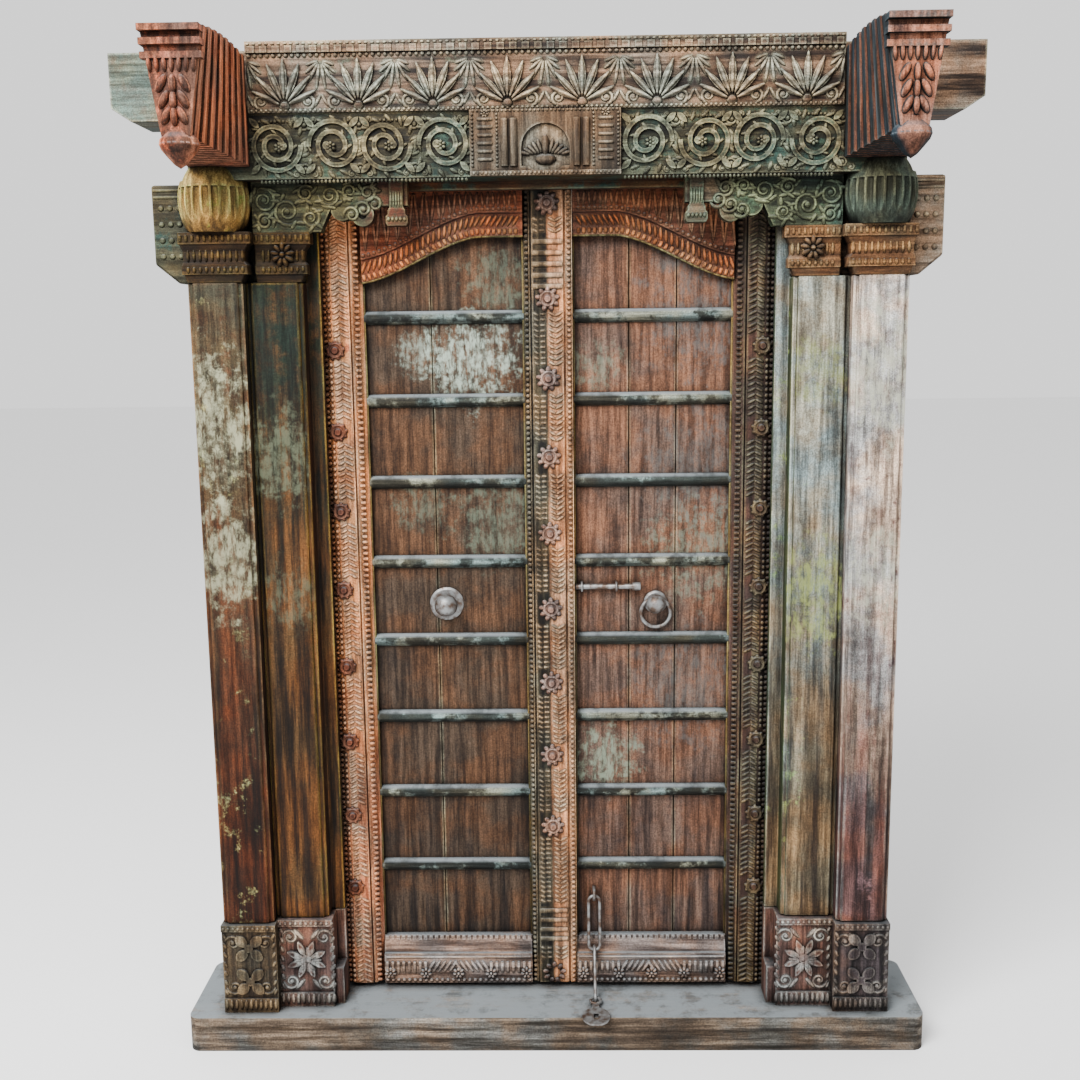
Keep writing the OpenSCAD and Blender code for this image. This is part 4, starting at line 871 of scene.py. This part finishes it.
def foot_carving(bm, start, end):
    wide = end - start
    count = int(wide / 0.0145)
    for k in range(count):
        u = (k + 0.5) / count
        x = start + wide * u
        bud(bm, x, front, foot + 0.008, 0.0058, 0.005, 0.0055)
        if 0.3 < u < 0.7:
            bud(bm, x, front, foot + 0.048, 0.005, 0.006, 0.021, 32 if u < 0.5 else -32)
        else:
            bar(bm, x, front, foot + 0.046, 0.0085, 0.009, 0.034)
    for u in (0.04, 0.28, 0.5, 0.72, 0.96):
        flower(bm, start + wide * u, front - 0.002, foot + 0.03, 0.017, 7, 0.008)
    bar(bm, (start + end) / 2, front, foot + 0.075, wide * 0.98, 0.006, 0.006)


def edge_carving(bm, start, end):
    base = foot + 0.13
    wide = 0.005
    deep = 0.012
    inset = 0.0015 if end > start else -0.0015
    for x, top in ((start + inset, spring), (end - inset, spring + arch_rise)):
        bar(bm, x, front + 0.027, (base + top) / 2, wide, deep, top - base)
    steps = 24
    for k in range(steps):
        ends = []
        for u in (k / steps, (k + 1) / steps):
            ends.append((start + (end - start) * u, spring + arch_height(u)))
        (x0, z0), (x1, z1) = ends
        long = math.hypot(x1 - x0, z1 - z0) * 1.06
        slope = math.degrees(math.atan((z1 - z0) / (x1 - x0)))
        bar(bm, (x0 + x1) / 2, front + 0.012, (z0 + z1) / 2 - 0.001, long, deep, wide, -slope)


bm = bmesh.new()
stile_carving(bm, -1)
piece("left_stile_carving", "left_leaf", left_frame, bm)
bm = bmesh.new()
boss_carving(bm, -boss_x, side_bosses, 0.025)
piece("left_boss_carving", "left_leaf", dark_boss, bm)
bm = bmesh.new()
edge_carving(bm, -stile_in, -half_meeting)
piece("left_edge_line", "left_leaf", edge_line, bm)
bm = bmesh.new()
row_pitch = 0.0135
for k in range(int((head - foot) / row_pitch)):
    z = foot + (k + 0.5) * row_pitch
    bud(bm, half_meeting - 0.0075, front + 0.001, z, 0.0062, 0.007, 0.0055)
    bud(bm, 0.0085 - half_meeting, front + 0.007, z, 0.0062, 0.006, 0.0055)
    if head - 0.26 < z < head - 0.115 or foot + 0.11 < z < foot + 0.225:
        if k % 2:
            bar(bm, 0.0, front - 0.001, z, 0.074, 0.008, 0.0125)
    elif min(abs(z - b) for b in middle_bosses) > 0.036:
        bud(bm, 0.027, front, z, 0.0044, 0.005, 0.012, 60)
        bud(bm, 0.010, front, z, 0.0044, 0.005, 0.010, -60)
        bar(bm, -0.013, front, z, 0.012, 0.006, 0.006)
        bar(bm, -0.0295, front, z, 0.013, 0.006, 0.006, 30)
bar(bm, half_meeting + 0.0001, front + 0.0025, (foot + head) / 2, 0.0026, 0.006, head - foot)
piece("meeting_stile_carving", "left_leaf", meeting, bm)
bm = bmesh.new()
boss_carving(bm, 0.0, middle_bosses, 0.031)
piece("meeting_boss_carving", "left_leaf", grey_boss, bm)
bm = bmesh.new()
arch_carving(bm, -stile_in, -half_meeting)
piece("left_arch_carving", "left_leaf", arch_band, bm)
bm = bmesh.new()
rail_carving(bm, -stile_in, -half_meeting)
piece("left_rail_carving", "left_leaf", left_rail, bm)
bm = bmesh.new()
foot_carving(bm, -stile_in, -half_meeting)
piece("left_foot_carving", "left_leaf", foot_rail, bm)

# Boards of both leaves: wide planks of purple brown wood nailed behind the frames, darker in the left leaf.
# Pale teal remnants of an old coat are left in streaky patches, each set by its place on the face.
left_boards = timber(
    "left board wood", "board_wood", wood=(94, 72, 56), dark=(32, 27, 26), rubbed_and_highlight=(186, 176, 146),
    paint=(108, 122, 104), amount=0.2,
)
right_boards = timber(
    "right board wood", "board_wood", wood=(128, 96, 80), dark=(56, 46, 45), rubbed_and_highlight=(190, 178, 150),
    paint=(132, 126, 116), amount=0.24,
)
board_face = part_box("left_board_1")[0].y
remnants(
    left_boards, (190, 206, 188), board_face,
    (-0.19, 1.785, 0.13, 0.85), (-0.33, 1.8, 0.07, 0.45),
)
remnants(
    left_boards, (124, 138, 118), board_face,
    (-0.13, 1.36, 0.12, 0.5), (-0.33, 1.42, 0.09, 0.4), (-0.13, 1.98, 0.1, 0.4),
)
remnants(
    right_boards, (150, 164, 142), board_face,
    (0.145, 0.73, 0.1, 0.75), (0.12, 1.76, 0.08, 0.4), (0.39, 1.3, 0.16, 0.45),
)
remnants(
    right_boards, (112, 112, 110), board_face,
    (0.4, 1.9, 0.2, 0.5), (0.4, 1.5, 0.2, 0.45), (0.36, 0.92, 0.2, 0.4),
)
dress(left_boards, 0.002, "left_board_1", "left_board_2")
dress(right_boards, 0.002, "right_board_1", "right_board_2", "right_board_3")

# Battens: half-round bars nailed across the boards of both leaves, shaped in the CAD.
# Grey and teal paint over dark wood, with dust and a painted highlight along the top and painted shade
# along the underside.
battens = timber(
    "batten wood", "batten_wood", wood=(66, 70, 64), dark=(24, 26, 24), rubbed_and_highlight=(180, 190, 182),
    paint=(160, 176, 168), amount=0.52, grain=level_grain, dust_and_highlight=1.0,
)
dress(battens, 0.002, "left_battens", "right_battens")

# Right leaf frame: one hanging stile and two rails tenoned together, with the left leaf's carving.
# Darker brown wood; the leaf closes against the meeting stile, so its rails end a little beside it.
right_frame = timber(
    "right leaf frame wood", "leaf_frame_wood", wood=(88, 65, 58), dark=(26, 20, 20),
    rubbed_and_highlight=(141, 129, 99), paint=(108, 77, 61), amount=0.3,
)
right_rail = timber(
    "right rail wood", "leaf_frame_wood", wood=(135, 80, 58), dark=(42, 24, 19), rubbed_and_highlight=(196, 144, 108),
    paint=(142, 81, 52), amount=0.35, grain=level_grain, dust_and_highlight=0.9,
)
dress(right_frame, 0.002, "right_hanging_stile", "right_stile_bosses")
dress(right_rail, 0.002, "right_top_rail")
right_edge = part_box("right_top_rail")[0].x
bm = bmesh.new()
stile_carving(bm, 1)
boss_carving(bm, boss_x, side_bosses, 0.025)
piece("right_stile_carving", "right_leaf", right_frame, bm)
bm = bmesh.new()
edge_carving(bm, stile_in, right_edge)
piece("right_edge_line", "right_leaf", edge_line, bm)
bm = bmesh.new()
arch_carving(bm, stile_in, right_edge)
piece("right_arch_carving", "right_leaf", arch_band, bm)
bm = bmesh.new()
rail_carving(bm, stile_in, right_edge)
piece("right_rail_carving", "right_leaf", right_rail, bm)
bm = bmesh.new()
foot_carving(bm, right_edge, stile_in)
piece("right_foot_carving", "right_leaf", foot_rail, bm)

# Ironwork: knobs, ring, bolt, staples, chain, hasp and pivots, forged and driven into the leaves.
# Dull grey iron with brown rust in patches, pitted where the rust is.
iron = bpy.data.materials.new("dull iron")
iron.use_nodes = True
iron["slot"] = "iron"
tree = iron.node_tree
surface = tree.nodes["Principled BSDF"]
surface.inputs["Metallic"].default_value = 0.65
surface.inputs["Roughness"].default_value = 0.48
rust = tree.nodes.new("ShaderNodeTexNoise")
rust.inputs["Scale"].default_value = 55.0
rust.inputs["Detail"].default_value = 8.0
tree.links.new(tree.nodes.new("ShaderNodeTexCoord").outputs["Object"], rust.inputs["Vector"])
tint = tree.nodes.new("ShaderNodeValToRGB")
rusty, clean = tint.color_ramp.elements
rusty.position = 0.38
rusty.color = (0.07, 0.045, 0.032, 1.0)
clean.position = 0.6
clean.color = (0.21, 0.215, 0.215, 1.0)
tree.links.new(rust.outputs["Fac"], tint.inputs["Fac"])
tree.links.new(tint.outputs["Color"], surface.inputs["Base Color"])
pits = tree.nodes.new("ShaderNodeBump")
pits.inputs["Strength"].default_value = 0.4
pits.inputs["Distance"].default_value = 0.001
tree.links.new(rust.outputs["Fac"], pits.inputs["Height"])
tree.links.new(pits.outputs["Normal"], surface.inputs["Normal"])
iron_edge = 0.0008
dress(iron, iron_edge, "left_rose", "left_knob", "right_rose", "right_knob", "ring_pull")
dress(iron, iron_edge, "left_top_pivot", "left_bottom_pivot", "right_top_pivot", "right_bottom_pivot")
dress(iron, iron_edge, "slide_bolt", "bolt_staples")
dress(iron, iron_edge, "chain_staple", "chain_link_1", "chain_link_2", "chain_hasp")

# Floor and light: a plain pale floor, a bright even sky and a large soft lamp from the front left.
# None of it belongs to the part; it stages the picture.
bm = bmesh.new()
bmesh.ops.create_grid(bm, x_segments=1, y_segments=1, size=30.0)
mesh = bpy.data.meshes.new("floor")
bm.to_mesh(mesh)
bm.free()
floor = bpy.data.objects.new("floor", mesh)
bpy.context.scene.collection.objects.link(floor)
pale = bpy.data.materials.new("floor")
pale.use_nodes = True
surface = pale.node_tree.nodes["Principled BSDF"]
surface.inputs["Base Color"].default_value = (0.9, 0.9, 0.9, 1.0)
surface.inputs["Roughness"].default_value = 0.9
mesh.materials.append(pale)
sky = bpy.data.worlds.new("sky")
sky.use_nodes = True
background = sky.node_tree.nodes["Background"]
background.inputs["Color"].default_value = (1.0, 1.0, 1.0, 1.0)
background.inputs["Strength"].default_value = 1.35
bpy.context.scene.world = sky
lamp_data = bpy.data.lights.new("soft lamp", "AREA")
lamp_data.energy = 620.0
lamp_data.size = 2.4
lamp = bpy.data.objects.new("soft lamp", lamp_data)
lamp.location = (-1.7, -3.0, 4.3)
lit_point = Vector((0.0, 0.0, 1.3))
lamp.rotation_euler = (lit_point - lamp.location).to_track_quat("-Z", "Y").to_euler()
bpy.context.scene.collection.objects.link(lamp)

# Camera: where the photo was taken from, above the middle of the door and looking a little down.
# Its place, turn and lens come from the fit to the photo.
camera_data = bpy.data.cameras.new("camera")
camera_data.sensor_width = 36.0
camera_data.lens = 36.0 * 1251.0 / 1080.0
camera = bpy.data.objects.new("camera", camera_data)
stand = (0.034, -3.151, 1.851)
yaw = -0.019
pitch = 0.165
roll = -0.012
forward = Vector((math.sin(yaw) * math.cos(pitch), math.cos(yaw) * math.cos(pitch), -math.sin(pitch)))
level = Vector((math.cos(yaw), -math.sin(yaw), 0.0))
above = level.cross(forward)
right = level * math.cos(roll) + above * math.sin(roll)
up = above * math.cos(roll) - level * math.sin(roll)
turn = Matrix((right, up, -forward)).transposed().to_4x4()
camera.matrix_world = Matrix.Translation(stand) @ turn
bpy.context.scene.collection.objects.link(camera)
bpy.context.scene.camera = camera
